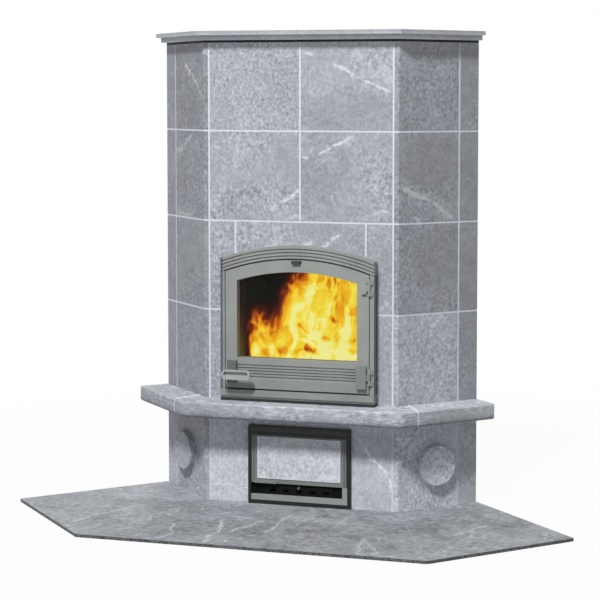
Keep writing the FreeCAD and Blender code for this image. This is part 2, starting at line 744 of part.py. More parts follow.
def make_leaf():
    front, back = "-door_proud", LEAF_BACK
    through = (f"-door_proud - {PAST}", f"{back} + {PAST}")
    window_bottom = f"{BENCH_TOP} + glass_level"
    plate = arched("leaf_plate", LEAF_HALF, LEAF_INSET, (front, back),
                   f"{BENCH_TOP} + sill_height + leaf_lift")
    window = arched("leaf_window", f"{GLASS_WIDTH} / 2", WINDOW_INSET, through, window_bottom)
    seat = arched("leaf_rebate", f"{GLASS_WIDTH} / 2 + rebate", f"{WINDOW_INSET} - rebate",
                  (f"{back} - rebate_depth", f"{back} + {PAST}"), f"{window_bottom} - rebate")
    rope_line = (f"{TUNNEL_WIDTH} / 2 + rope_margin", f"{WINDOW_INSET} - rebate - rope_margin", "rope_width")
    rope_bottom = f"{FLOOR_TOP} - rope_margin"
    trench = arched_ring("rope_trench", *rope_line, (f"{back} - rope_groove", f"{back} + {PAST}"),
                         rope_bottom)
    ridges = []
    for ridge in range(RIDGE_GROOVES):
        top = f"{BENCH_TOP} + ridge_level - {ridge} * ridge_pitch"
        depth = (f"-door_proud - {PAST}", "ridge_depth - door_proud")
        ridges.append(block("ridge_groove", about("0", GLASS_WIDTH), depth, (f"{top} - ridge_groove", top)))
    slot = block("airwash_slot", about("0", "airwash_stem + 2 * airwash_travel + 2 * airwash_gap"), through,
                 about(f"{ARCH_PEAK} - {LEAF_INSET} - airwash_drop", "airwash_stem + 2 * airwash_gap"))
    spindle_hole = inward_pin("leaf_spindle_hole", "spindle_radius + pin_clearance", spindle_spot(), through)
    bands = bundle("ridges", ridges)
    node("fire_door_leaf", cut("leaf", plate, window, seat, trench, bands, slot, spindle_hole))

    glass_half = f"{GLASS_WIDTH} / 2 + rebate - glass_gap"
    glass_inset = f"{WINDOW_INSET} - rebate + glass_gap"
    glass_bottom = f"{window_bottom} - rebate + glass_gap"
    glass_back = f"{back} - rebate_depth + glass_thickness"
    node("fire_door_glass", arched("glass", glass_half, glass_inset, (f"{back} - rebate_depth", glass_back),
                                   glass_bottom))
    lip = "(retainer_lip + rebate - glass_gap)"
    node("glass_retainer", arched_ring("retainer", f"{glass_half} - {lip}", f"{glass_inset} + {lip}", lip,
                                       (glass_back, back), f"{glass_bottom} + {lip}"))
    node("fire_door_rope", arched_ring("rope", *rope_line, (f"{back} - rope_groove", "-flange - rope_gap"),
                                       rope_bottom))


def hinge_levels(level, height):
    """The lower frame knuckle, the leaf's knuckle and the upper frame knuckle of one hinge."""
    low = f"({BENCH_TOP} + {level} + {height} / 2 - knuckle_length / 2)"
    high = f"({low} + knuckle_length)"
    below = (f"{low} - knuckle_gap - outer_knuckle", f"{low} - knuckle_gap")
    above = (f"{high} + knuckle_gap", f"{high} + knuckle_gap + outer_knuckle")
    return below, (low, high), above


def make_hinges():
    axis = (RIM_INSIDE, HINGE_Y)
    bore = "pin_radius + pin_clearance"
    straps, knuckles, pins = [], [], []
    lower = ("strap_level", "strap_height", "strap_width", "strap_proud")
    upper = ("upper_strap_level", "upper_strap_height", "upper_strap_width", "upper_strap_proud")
    for level, height, width, proud in (lower, upper):
        below, between, above = hinge_levels(level, height)
        edge = f"{RIM_INSIDE} - strap_inset"
        plate = block("strap_plate", (f"{edge} - {width}", edge), (f"-door_proud - {proud}", "-door_proud"),
                      upward(f"{BENCH_TOP} + {level}", height))
        web = block("strap_web", (f"{edge} - {width} / 2", RIM_INSIDE), about(HINGE_Y, "knuckle_radius"),
                    between)
        barrel = upright_pin("strap_barrel", "knuckle_radius", axis, between)
        hole = upright_pin("strap_bore", bore, axis, (f"{below[0]} - {PAST}", f"{above[1]} + {PAST}"))
        straps.append(cut("strap", fuse("strap_body", plate, web, barrel), hole))
        for span in (below, above):
            foot = block("knuckle_foot", (RIM_INSIDE, f"{RIM_INSIDE} + knuckle_foot"),
                         (HINGE_Y, "-door_proud"), span)
            barrel = upright_pin("knuckle_barrel", "knuckle_radius", axis, span)
            hole = upright_pin("knuckle_bore", bore, axis, (f"{span[0]} - {PAST}", f"{span[1]} + {PAST}"))
            knuckles.append(cut("knuckle", fuse("knuckle_body", foot, barrel), hole))
        shaft = upright_pin("pin_shaft", "pin_radius", axis, (below[0], f"{above[1]} + pin_head"))
        head = upright_pin("pin_cap", "knuckle_radius", axis, upward(above[1], "pin_head"))
        pins.append(fuse("pin", shaft, head))
    group("hinge_straps", straps)
    group("frame_hinge_knuckles", knuckles)
    group("fire_door_hinge_pins", pins)


def spindle_spot():
    return f"-({RIM_INSIDE} - spindle_inset)", f"{BENCH_TOP} + lever_level"


def make_latch():
    edge = f"{RIM_INSIDE} - strap_inset"
    face = "(-door_proud - strap_proud)"
    plate = block("latch_block", (f"-({edge})", f"strap_width - ({edge})"), (face, "-door_proud"),
                  upward(f"{BENCH_TOP} + strap_level", "strap_height"))
    hole = inward_pin("latch_hole", "spindle_radius + pin_clearance", spindle_spot(),
                      (f"{face} - {PAST}", f"{PAST} - door_proud"))
    node("latch_plate", cut("latch", plate, hole))

    across, level = spindle_spot()
    behind = f"({face} - lever_gap)"
    depth = (f"{behind} - lever_thickness", behind)
    far = f"({across} + lever_length - lever_height)"
    bar = block("lever_bar", (across, far), depth, about(level, "lever_height"))
    ends = [inward_pin("lever_end", "lever_height / 2", (spot, level), depth) for spot in (across, far)]
    boss = inward_pin("lever_boss", "boss_radius", (across, level), (behind, f"{face} - boss_gap"))
    spindle = inward_pin("spindle", "spindle_radius", (across, level), (behind, "-flange - cam_gap"))
    lever = fuse("lever", bar, *ends, boss, spindle)
    hollow = (f"{depth[0]} - {PAST}", f"{depth[0]} + lever_slot_depth")
    upper = f"{level} + lever_slot_rise"
    slot = [inward_pin("slot_end", "lever_slot / 2", (spot, upper), hollow) for spot in (across, far)]
    slot.append(block("slot_middle", (across, far), hollow, about(upper, "lever_slot")))
    node("fire_door_handle", cut("lever_slotted", lever, *slot))

    cam_depth = (f"{LEAF_BACK} + cam_gap", "-flange - cam_gap")
    cam = block("cam_block", (f"{across} - cam_length", f"{across} + cam_height / 2"), cam_depth,
                about(level, "cam_height"))
    eye = inward_pin("cam_eye", "spindle_radius + pin_clearance", (across, level),
                     (f"{cam_depth[0]} - {PAST}", f"{cam_depth[1]} + {PAST}"))
    node("latch_cam", cut("cam", cam, eye))


def make_airwash():
    level = f"{ARCH_PEAK} - {LEAF_INSET} - airwash_drop"
    front = "(-door_proud - airwash_gap)"
    knob = block("airwash_grip", about("0", "airwash_width"), (f"{front} - airwash_proud", front),
                 about(level, "airwash_height"))
    stem = block("airwash_neck", about("0", "airwash_stem"), (front, f"{LEAF_BACK} + airwash_gap"),
                 about(level, "airwash_stem"))
    plate = block("airwash_back", about("0", "airwash_width + airwash_stem + 2 * airwash_travel"),
                  (f"{LEAF_BACK} + airwash_gap", "-flange - airwash_gap"), about(level, "airwash_plate"))
    node("airwash_slide", fuse("airwash", knob, stem, plate))


# Ash door and air inlet

def make_ash_frame():
    inside = (f"-{ASH_INSIDE}", ASH_INSIDE)
    behind = f"{ASH_INSIDE} - ash_stop"
    ring = block("ash_ring", about("0", ASH_OPENING), ("-ash_proud", "ash_depth"),
                 ("hearth_thickness", ASH_FRAME_TOP))
    pocket = block("ash_recess", inside, (f"-ash_proud - {PAST}", ASH_POCKET_BACK),
                   (ASH_SILL_BOTTOM, ASH_POCKET_TOP))
    mouth = block("ash_mouth", (f"-({behind})", behind),
                  (f"{ASH_POCKET_BACK} - {PAST}", f"ash_depth + {PAST}"),
                  (AIR_BOTTOM, f"{ASH_POCKET_TOP} - ash_stop"))
    spot = (ASH_HINGE_X, ASH_HINGE_Y)
    bore = "pin_radius + pin_clearance"
    top_hole = upright_pin("ash_top_hole", bore, spot,
                           (f"{ASH_POCKET_TOP} - {PAST}", f"{ASH_POCKET_TOP} + ash_pin_reach"))
    node("ash_door_frame", cut("ash_frame", ring, pocket, mouth, top_hole))

    depth = ("-ash_proud", ASH_POCKET_BACK)
    node("ash_sill_bar", block("ash_sill_block", inside, depth, (ASH_SILL_BOTTOM, AIR_BOTTOM)))
    bracket = block("ash_bracket_block", (f"{ASH_INSIDE} - ash_bracket", ASH_INSIDE), depth,
                    (AIR_BOTTOM, AIR_TOP))
    low_hole = upright_pin("ash_low_hole", bore, spot, (f"{AIR_TOP} - ash_pin_reach", f"{AIR_TOP} + {PAST}"))
    node("ash_hinge_bracket", cut("ash_bracket_bored", bracket, low_hole))
    top_pin = upright_pin("ash_top_pin", "pin_radius", spot,
                          (f"{ASH_LEAF_TOP} - ash_pin_reach", f"{ASH_POCKET_TOP} + ash_pin_reach"))
    low_pin = upright_pin("ash_low_pin", "pin_radius", spot,
                          (f"{AIR_TOP} - ash_pin_reach", f"{ASH_LEAF_BOTTOM} + ash_pin_reach"))
    group("ash_door_hinge_pins", [top_pin, low_pin])


def make_ash_leaf():
    spot = (ASH_HINGE_X, ASH_HINGE_Y)
    depth = ("-ash_proud", ASH_LEAF_BACK)
    upright = (ASH_LEAF_BOTTOM, ASH_LEAF_TOP)
    left = f"(ash_side_gap - {ASH_INSIDE})"
    plate = block("ash_plate", (left, ASH_HINGE_X), depth, upright)
    nose = upright_pin("ash_nose", "ash_leaf_thickness / 2", spot, upright)
    pull = block("ash_pull", upward(f"{left} + ash_stile / 2", "ash_pull_width"),
                 ("-ash_proud - ash_pull_proud", "-ash_proud"), upward(ASH_LEAF_BOTTOM, "ash_pull_height"))
    across = (f"{left} + ash_stile", f"-({left} + ash_stile)")
    panel_upright = (f"{ASH_LEAF_BOTTOM} + ash_bottom_rail", f"{ASH_LEAF_TOP} - ash_top_rail")
    seat = block("ash_seat", across, (f"-ash_proud - {PAST}", "ash_panel_depth - ash_proud"), panel_upright)
    bore = "pin_radius + pin_clearance"
    ends = ((f"{ASH_LEAF_TOP} - ash_pin_reach", f"{ASH_LEAF_TOP} + {PAST}"),
            (f"{ASH_LEAF_BOTTOM} - {PAST}", f"{ASH_LEAF_BOTTOM} + ash_pin_reach"))
    holes = [upright_pin("ash_leaf_hole", bore, spot, end) for end in ends]
    node("ash_door_leaf", cut("ash_leaf", fuse("ash_leaf_body", plate, nose, pull), seat, *holes))
    gap = "ash_panel_gap"
    node("ash_door_panel", block("ash_stone", (f"{across[0]} + {gap}", f"{across[1]} - {gap}"),
                                 ("-ash_proud - ash_panel_proud", "ash_panel_depth - ash_proud"),
                                 (f"{panel_upright[0]} + {gap}", f"{panel_upright[1]} - {gap}")))


def make_air_inlet():
    face = f"({ASH_POCKET_BACK} - grille_thickness)"
    middle_level = f"({AIR_BOTTOM} + air_height / 2)"
    across = (f"-{ASH_INSIDE}", f"{ASH_INSIDE} - ash_bracket")
    plate = block("grille_plate", across, (face, ASH_POCKET_BACK), (AIR_BOTTOM, AIR_TOP))
    rail_depth = (f"{face} - slide_thickness - slide_gap", face)
    rails = [block("grille_rail_low", across, rail_depth, upward(AIR_BOTTOM, "grille_rail")),
             block("grille_rail_top", across, rail_depth, (f"{AIR_TOP} - grille_rail", AIR_TOP))]
    places = [f"{SLIDE_LENGTH} / {AIR_SLOTS} * {place - AIR_SLOTS // 2}" for place in range(AIR_SLOTS)]
    slot_span = about(f"{middle_level} - slot_height / 2", "slot_height")
    slots = [block("grille_slot", about(place, "slot_length"),
                   (f"{face} - slide_thickness - {PAST}", f"{ASH_POCKET_BACK} + {PAST}"), slot_span)
             for place in places]
    node("air_grille", cut("grille", fuse("grille_body", plate, *rails), bundle("grille_slots", slots)))

    front = f"({face} - slide_gap - slide_thickness)"
    inner = (f"{AIR_BOTTOM} + grille_rail + slide_gap", f"{AIR_TOP} - grille_rail - slide_gap")
    sheet_plate = block("slide_plate", about("0", SLIDE_LENGTH), (front, f"{face} - slide_gap"), inner)
    shutter = [block("slide_slot", about(place, "slot_length"), (f"{front} - {PAST}", f"{face} + {PAST}"),
                     slot_span) for place in places]
    knob = inward_pin("slide_knob", "slide_knob_radius", ("0", f"{AIR_TOP} - slide_knob_drop"),
                      (f"{front} - slide_knob_proud", front))
    node("air_slide", fuse("slide", cut("slide_shutter", sheet_plate, bundle("slide_slots", shutter)), knob))


# Core

def make_core():
    front, back = "cladding", CORE_BACK
    wall_front = f"{back} - core_wall"
    pit_half = f"{ASH_OPENING} / 2"
    floor = (f"{FLOOR_TOP} - floor_thickness", FLOOR_TOP)
    node("ash_pit_floor", block("pit_floor", about("0", ASH_OPENING), ("0", wall_front),
                                ("0", "hearth_thickness")))
    plinth = pair("plinth_side", (pit_half, CORE_HALF), (front, back), ("0", floor[0]))
    plinth.append(block("plinth_back", about("0", ASH_OPENING), (wall_front, back), ("0", floor[0])))
    group("plinth_walls", plinth)

    hole_front = "(cladding + grate_setback)"
    tray = block("grate_seat", about("0", "grate_width + 2 * grate_gap"),
                 (f"{hole_front} - grate_gap", f"{hole_front} + {GRATE_LENGTH} + grate_gap"),
                 (f"{FLOOR_TOP} - grate_thickness", f"{FLOOR_TOP} + {PAST}"))
    shaft = block("grate_shaft", about("0", "grate_width - 2 * grate_ledge"),
                  (f"{hole_front} + grate_ledge", f"{hole_front} + {GRATE_LENGTH} - grate_ledge"),
                  (f"{floor[0]} - {PAST}", f"{FLOOR_TOP} + {PAST}"))
    slab = block("floor_slab", about("0", f"2 * {CORE_HALF}"), (front, back), floor)
    node("firebox_floor", cut("floor_cut", slab, tray, shaft))
    plate = block("grate_plate", about("0", "grate_width"), upward(hole_front, GRATE_LENGTH),
                  (f"{FLOOR_TOP} - grate_thickness", FLOOR_TOP))
    pitch = "(grate_slot + grate_bar)"
    slots = [block("grate_opening", about(f"{pitch} * {place - GRATE_SLOTS // 2}", "grate_slot"),
                   (f"{hole_front} + grate_rim", f"{hole_front} + {GRATE_LENGTH} - grate_rim"),
                   (f"{FLOOR_TOP} - grate_thickness - {PAST}", f"{FLOOR_TOP} + {PAST}"))
             for place in range(GRATE_SLOTS)]
    node("grate", cut("grate_cut", plate, bundle("grate_openings", slots)))

    walls = pair("firebox_side", (CORE_INSIDE, CORE_HALF), (front, back), (FLOOR_TOP, CORE_TOP))
    across = (f"-{CORE_INSIDE}", CORE_INSIDE)
    walls.append(block("firebox_back", across, (wall_front, back), (FLOOR_TOP, CORE_TOP)))
    group("firebox_walls", walls)
    wall_back = f"({front} + front_wall)"
    node("core_front_wall", block("front_wall_block", across, (front, wall_back),
                                  (f"{BENCH_TOP} + fire_opening_height", CORE_TOP)))
    throat = upward(f"{BENCH_TOP} + throat_level", "throat_thickness")
    group("throat_slabs", [block("throat_front_slab", across, upward(wall_back, "throat_front"), throat),
                           block("throat_back_slab", across,
                                 (f"{wall_front} - throat_back", wall_front), throat)])

    heel = f"(({CORE_HALF} - {CORNER} + {CORE_BACK}) * {DIAGONAL})"
    heel_in = f"(({CORNER} - {CORE_HALF} + {CORE_BACK}) * {DIAGONAL})"
    wall = "(side_length - cladding)"
    fin = [(heel, heel_in), (wall, heel_in), (wall, f"{heel_in} - divider"),
           (f"{heel} - divider", f"{heel_in} - divider")]
    group("channel_dividers", [side_body(f"fin_{word}", hand, fin, floor[0], TOWER_TOP)
                               for word, hand in HANDS.items()])


def make_ash_pan():
    inward = upward("cladding + pan_setback", PAN_LENGTH)
    bottom = "hearth_thickness"
    shell = block("pan_shell", about("0", PAN_WIDTH), inward, upward(bottom, "pan_height"))
    hollow = block("pan_hollow", about("0", f"{PAN_WIDTH} - 2 * pan_wall"),
                   (f"{inward[0]} + pan_wall", f"{inward[1]} - pan_wall"),
                   (f"{bottom} + pan_wall", f"{bottom} + pan_height + {PAST}"))
    node("ash_pan", cut("pan", shell, hollow))


def check_document():
    doc.recompute()
    for item in doc.Objects:
        faults = [word for word in item.State if word in ("Invalid", "Error")]
        if faults:
            raise RuntimeError(f"{item.Label} did not rebuild: {faults}")
    for piece in nodes:
        if piece.Shape.isNull() or not piece.Shape.isValid() or not piece.Shape.Solids:
            raise RuntimeError(f"{piece.Label} has no sound solid")


def write_parts():
    os.makedirs("parts", exist_ok=True)
    for piece in nodes:
        piece.Shape.exportStep(f"parts/{piece.Label}.step")
        print(piece.Label, len(piece.Shape.Solids), "solids", round(piece.Shape.Volume / 1000), "cm3")
    print(len(nodes), "nodes")


fill_sheet()
make_hearth()
make_base()
make_tower_sides()
make_tower_front()
make_joints(make_bench())
make_cornice()
make_top()
make_door_frame()
make_leaf()
make_hinges()
make_latch()
make_airwash()
make_ash_frame()
make_ash_leaf()
make_air_inlet()
make_core()
make_ash_pan()
check_document()
write_parts()
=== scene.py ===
import bpy
import math
import numpy as np
from mathutils import Matrix, Vector


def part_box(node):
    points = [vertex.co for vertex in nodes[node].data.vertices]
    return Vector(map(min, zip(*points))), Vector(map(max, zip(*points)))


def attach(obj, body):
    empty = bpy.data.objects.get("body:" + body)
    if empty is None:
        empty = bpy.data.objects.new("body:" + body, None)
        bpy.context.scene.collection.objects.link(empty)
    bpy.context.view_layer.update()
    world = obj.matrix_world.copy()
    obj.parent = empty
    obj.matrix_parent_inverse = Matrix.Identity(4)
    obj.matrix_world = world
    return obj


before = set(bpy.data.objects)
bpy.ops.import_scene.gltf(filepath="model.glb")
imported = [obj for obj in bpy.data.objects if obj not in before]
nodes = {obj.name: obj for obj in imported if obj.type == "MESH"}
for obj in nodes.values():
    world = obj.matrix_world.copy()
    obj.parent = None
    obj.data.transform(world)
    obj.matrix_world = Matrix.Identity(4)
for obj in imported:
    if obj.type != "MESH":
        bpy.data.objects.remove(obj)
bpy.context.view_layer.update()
scene = bpy.context.scene
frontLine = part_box("base_piers")[0].y  # Y of the tower's front face
frontShift = Vector((0, frontLine, 0))
cornerHalf = 0.318                     # half the front with its corner returns
courseHeight = 0.283
baseLevel = 0.30                       # the base course is below this, the rest above
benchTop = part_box("bench_front_slab")[1].z
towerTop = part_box("cornice_front")[0].z
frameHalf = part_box("fire_door_frame")[1].x
print("frame loaded:", len(nodes), "nodes")

# camera, level with the upper courses and a little to the right
# focal and middle are in pixels of the image, the turns in degrees
eye = {"place": (1.5705, -5.0299, 1.2903), "yaw": -15.572, "pitch": -3.767, "roll": 0.104,
       "focal": 1693.8, "middle": (352, 210), "image": 600, "sensor": 36}


def aimCamera(eye):
    yaw, pitch, roll = (math.radians(eye[key]) for key in ("yaw", "pitch", "roll"))
    ahead = Vector((math.sin(yaw) * math.cos(pitch), math.cos(yaw) * math.cos(pitch), math.sin(pitch)))
    across = Vector((math.cos(yaw), -math.sin(yaw), 0))
    up = across.cross(ahead)
    across = across * math.cos(roll) + up * math.sin(roll)
    up = across.cross(ahead)
    lens = bpy.data.cameras.new("camera")
    lens.sensor_fit = "HORIZONTAL"
    lens.sensor_width = eye["sensor"]
    lens.lens = eye["focal"] * eye["sensor"] / eye["image"]
    lens.shift_x = 0.5 - eye["middle"][0] / eye["image"]
    lens.shift_y = eye["middle"][1] / eye["image"] - 0.5
    camera = bpy.data.objects.new("camera", lens)
    turn = Matrix((across, up, -ahead)).transposed().to_4x4()
    camera.matrix_world = Matrix.Translation(Vector(eye["place"]) + frontShift) @ turn
    scene.collection.objects.link(camera)
    scene.camera = camera


aimCamera(eye)
scene.view_settings.view_transform = "Standard"
print("camera placed")


class Val:  # one value in a shader; maths on it adds Math nodes
    def __init__(self, graph, socket):
        self.graph = graph
        self.socket = socket

    def math(self, kind, first, second=0.0):
        return self.graph.node("ShaderNodeMath", {"operation": kind}, {0: first, 1: second})

    def __add__(self, other):
        return self.math("ADD", self, other)

    def __radd__(self, other):
        return self.math("ADD", other, self)

    def __sub__(self, other):
        return self.math("SUBTRACT", self, other)

    def __rsub__(self, other):
        return self.math("SUBTRACT", other, self)

    def __mul__(self, other):
        return self.math("MULTIPLY", self, other)

    def __rmul__(self, other):
        return self.math("MULTIPLY", other, self)

    def __truediv__(self, other):
        return self.math("DIVIDE", self, other)

    def __pow__(self, other):
        return self.math("POWER", self, other)

    def __abs__(self):
        return self.math("ABSOLUTE", self)

    def floor(self):
        return self.math("FLOOR", self)

    def sign(self):
        return self.math("SIGN", self)

    def sine(self):
        return self.math("SINE", self)

    def larger(self, other):
        return self.math("MAXIMUM", self, other)

    def smaller(self, other):
        return self.math("MINIMUM", self, other)

    def rise(self, low, high):  # 0 below low, 1 above high, smooth between
        return self.graph.node("ShaderNodeMapRange", {"interpolation_type": "SMOOTHSTEP"},
                               {"Value": self, "From Min": low, "From Max": high})


class Graph:  # a node tree; its methods add nodes and give back values
    def __init__(self, tree, sink):
        self.tree = tree
        tree.nodes.clear()
        self.sink = tree.nodes.new(sink)

    def put(self, target, value):
        if isinstance(value, Val):
            self.tree.links.new(value.socket, target)
        elif target.type == "RGBA" and len(value) == 3:
            target.default_value = (*value, 1.0)
        else:
            target.default_value = value

    def show(self, shader):
        self.put(self.sink.inputs["Surface"], shader)

    def node(self, kind, settings, sockets, out=0):
        made = self.tree.nodes.new(kind)
        for key, value in settings.items():
            if key == "stops":
                self.fillRamp(made.color_ramp, value)
            else:
                setattr(made, key, value)
        for key, value in sockets.items():
            self.put(made.inputs[key], value)
        return Val(self, made.outputs[out])

    def fillRamp(self, ramp, stops):
        while len(ramp.elements) < len(stops):
            ramp.elements.new(0.5)
        for element, (place, colour) in zip(ramp.elements, stops):
            element.position = place
            element.color = (*colour, 1.0)

    def seen(self):  # 1 on rays that show a thing: to the camera, in a mirror or through glass
        kinds = ("Is Camera Ray", "Is Glossy Ray", "Is Transmission Ray")
        camera, glossy, through = (self.node("ShaderNodeLightPath", {}, {}, out=kind) for kind in kinds)
        return camera.larger(glossy).larger(through)

    def point(self):
        return self.node("ShaderNodeTexCoord", {}, {}, out="Object")

    def parts(self, vector):  # x, y and z of a vector
        split = self.node("ShaderNodeSeparateXYZ", {}, {0: vector})
        return [Val(self, socket) for socket in split.socket.node.outputs]

    def join(self, x, y, z):
        return self.node("ShaderNodeCombineXYZ", {}, {0: x, 1: y, 2: z})

    def vectors(self, kind, first, second):  # vector maths
        return self.node("ShaderNodeVectorMath", {"operation": kind}, {0: first, 1: second})

    def dot(self, first, second):
        return self.node("ShaderNodeVectorMath", {"operation": "DOT_PRODUCT"}, {0: first, 1: second}, out=1)

    def scaled(self, vector, amount):  # a vector or a colour times a value
        return self.node("ShaderNodeVectorMath", {"operation": "SCALE"}, {0: vector, "Scale": amount})

    def noise(self, vector, scale, detail=3.0, rough=0.55, warp=0.0):
        return self.node("ShaderNodeTexNoise", {}, {"Vector": vector, "Scale": scale, "Detail": detail,
                                                    "Roughness": rough, "Distortion": warp})

    def drift(self, vector, scale, detail):  # three noises at once, about 0
        cloud = self.node("ShaderNodeTexNoise", {},
                          {"Vector": vector, "Scale": scale, "Detail": detail}, out=1)
        return self.vectors("SUBTRACT", cloud, (0.5, 0.5, 0.5))

    def mix(self, first, second, share):  # of two colours
        return self.node("ShaderNodeMix", {"data_type": "RGBA"}, {0: share, 6: first, 7: second}, out=2)

    def ramp(self, value, stops):
        return self.node("ShaderNodeValToRGB", {"stops": stops}, {0: value})

    def bump(self, height, strength, distance):
        return self.node("ShaderNodeBump", {},
                         {"Strength": strength, "Distance": distance, "Height": height})


class Surface(Graph):  # one material with a Principled shader
    names = {"colour": "Base Color", "rough": "Roughness", "metal": "Metallic", "alpha": "Alpha",
             "glow": "Emission Color", "glowPower": "Emission Strength", "normal": "Normal",
             "specular": "Specular IOR Level"}

    def __init__(self, name):
        self.material = bpy.data.materials.new(name)
        self.material.use_nodes = True
        super().__init__(self.material.node_tree, "ShaderNodeOutputMaterial")
        self.principled = self.node("ShaderNodeBsdfPrincipled", {}, {})
        self.show(self.principled)

    def set(self, **sockets):
        inputs = self.principled.socket.node.inputs
        for key, value in sockets.items():
            self.put(inputs[self.names[key]], value)
        return self.material


def srgb(*levels):  # a colour read from the photograph, 0 to 255, to linear light
    shares = np.array(levels, float) / 255
    curved = ((shares + 0.055) / 1.055) ** 2.4
    return tuple(np.where(shares < 0.04045, shares / 12.92, curved).tolist())


def gridMesh(name, points, material, closed=False):
    # points is rows x columns x 3; each quad joins four neighbours, and closed rows join their ends
    rows, columns = points.shape[:2]
    index = np.arange(rows * columns).reshape(rows, columns)
    if closed:
        index = np.hstack([index, index[:, :1]])
    corners = [index[:-1, :-1], index[:-1, 1:], index[1:, 1:], index[1:, :-1]]
    quads = np.stack(corners, axis=-1).reshape(-1, 4)
    mesh = bpy.data.meshes.new(name)
    mesh.from_pydata(points.reshape(-1, 3).tolist(), [], quads.tolist())
    mesh.polygons.foreach_set("use_smooth", np.ones(len(mesh.polygons), bool))
    mesh.update()
    mesh.materials.append(material)
    piece = bpy.data.objects.new(name, mesh)
    scene.collection.objects.link(piece)
    return piece


# stage
stageLook = {"rings": (0.0, 2.0, 5.0, 14.0), "spokes": 96, "drop": 0.0005, "white": 0.45, "lift": 0.97,
             "fade": (1.3, 2.6), "sky": 0.16}


def paleFloor(look):
    s = Surface("pale floor")
    s.set(colour=(look["white"],) * 3, rough=0.9, specular=0.0)
    glow = s.node("ShaderNodeEmission", {}, {"Color": (1, 1, 1), "Strength": 1.0})
    x, y, _ = s.parts(s.point())
    away = (x * x + y * y) ** 0.5  # white far from the heater, so that no horizon shows
    lift = look["lift"] + away.rise(*look["fade"]) * (1 - look["lift"])
    s.show(s.node("ShaderNodeMixShader", {}, {0: s.seen() * lift, 1: s.principled, 2: glow}))
    return s.material


def makeFloor(look):
    # polar grid: radius times the turn's cosine and sine
    spokes = np.linspace(0, 2 * math.pi, look["spokes"] + 1)[:-1]
    turns, radii = np.meshgrid(spokes, np.array(look["rings"]))
    level = np.full_like(radii, -look["drop"])
    points = np.stack([radii * np.cos(turns), radii * np.sin(turns), level], axis=-1)
    floor = gridMesh("floor", points, paleFloor(look), closed=True)


def makeWorld(look):  # white where it is seen, and a weak sky for the light
    world = bpy.data.worlds.new("studio")
    world.use_nodes = True
    sky = Graph(world.node_tree, "ShaderNodeOutputWorld")
    strength = sky.seen() * (1 - look["sky"]) + look["sky"]
    sky.show(sky.node("ShaderNodeBackground", {}, {"Color": (1, 1, 1), "Strength": strength}))
    scene.world = world


makeFloor(stageLook)
makeWorld(stageLook)

# lamps: a soft key straight in front and above, and a weak one behind for the back slabs
lamps = {
    "key": {"place": (-0.5, -5.2, 7.2), "aim": (0.0, 0.0, 0.7), "size": 1.3, "power": 720.0,
            "glare": True},
    "rear": {"place": (-0.9, 5.0, 1.4), "aim": (0.0, 0.8, 0.75), "size": 2.0, "power": 80.0,
             "glare": False}}


def makeLamp(name, look):
    light = bpy.data.lights.new(name, "AREA")
    light.shape = "DISK"
    light.size = look["size"]
    light.energy = look["power"]
    lamp = bpy.data.objects.new(name, light)
    lamp.visible_camera = False
    lamp.visible_glossy = look["glare"]
    lamp.location = Vector(look["place"]) + frontShift
    towards = Vector(look["aim"]) + frontShift - lamp.location
    lamp.rotation_euler = towards.to_track_quat("-Z", "Y").to_euler()
    scene.collection.objects.link(lamp)


for lampName, lampLook in lamps.items():
    makeLamp(lampName, lampLook)
print("stage and lamps made")


# marks on a plane, for stone and flame
def measure(s, plane, start, end):  # places along and off a line on a plane, and its length
    length = math.dist(start, end)
    wayA, wayB = (end[0] - start[0]) / length, (end[1] - start[1]) / length
    along = s.dot(plane, (wayA, wayB, 0)) - (start[0] * wayA + start[1] * wayB)
    off = abs(s.dot(plane, (-wayB, wayA, 0)) - (start[1] * wayA - start[0] * wayB))
    return along, off, length


def oval(s, plane, middle, half):  # 1 inside a soft oval on a plane
    overA = (s.dot(plane, (1, 0, 0)) - middle[0]) / half[0]
    overB = (s.dot(plane, (0, 1, 0)) - middle[1]) / half[1]
    return 1 - (overA * overA + overB * overB).rise(0.25, 1.44)


# soapstone
def veinMask(s, plane, veins, crumbs, widen):
    # a vein is a line on the stone's face: start, end, half width, strength
    # nearer than the width is white, and crumbs of white lie on both sides of it
    found = None
    for start, end, half, strength in veins:
        width = half * widen
        along, off, length = measure(s, plane, start, end)
        ends = 1 - abs(along - length / 2).rise(length / 2 - 0.012, length / 2 + 0.004)
        core = 1 - off.rise(width * 0.4, width * 1.4)
        halo = (1 - off.rise(0.0, width * 6.0)) * crumbs
        mask = ends * core.larger(halo) * strength
        found = mask if found is None else found.larger(mask)
    return found


def patchwork(s, plane, patches, calm):
    # a patch is a soft oval on the stone's face: middle, half sizes, change of tone, calmness of its grain
    shade = 0.0
    for middle, half, change, quiet in patches:
        mask = oval(s, plane, middle, half)
        shade = mask * change + shade
        calm = calm + (quiet - calm) * mask
    return shade, calm


def facePlane(s, face, x, deep, z):  # across and up on an upright face, across and back on a flat slab
    if face == "front":
        return s.join(x, z, 0.0)
    if face == "flat":
        return s.join(x, deep, 0.0)
    hand = 1 if face == "right" else -1
    return s.join((x * hand - cornerHalf + deep) * math.sqrt(0.5), z, 0.0)


# painted shade under the cornice: how high the dark line reaches, and its colour
seamShadeLook = {"high": 0.0085, "colour": (0.008, 0.008, 0.009)}


def paintedSeamShade(s, colour, z):  # painted shade: a dark line where the cornice sits on the courses
    high = seamShadeLook["high"]
    return s.mix(colour, seamShadeLook["colour"], z.rise(towerTop - high, towerTop - high * 0.8))


def paleToneAndPaintedLightBelow(s, colour, look, point, x, z):  # paler stone below a level: partly the blocks' own tone, partly painted light that brightens the shaded base and plugs
    for below, lift in look["lower"]:
        colour = s.scaled(colour, 1 + (1 - z.rise(below - 0.002, below + 0.002)) * lift)
    return colour


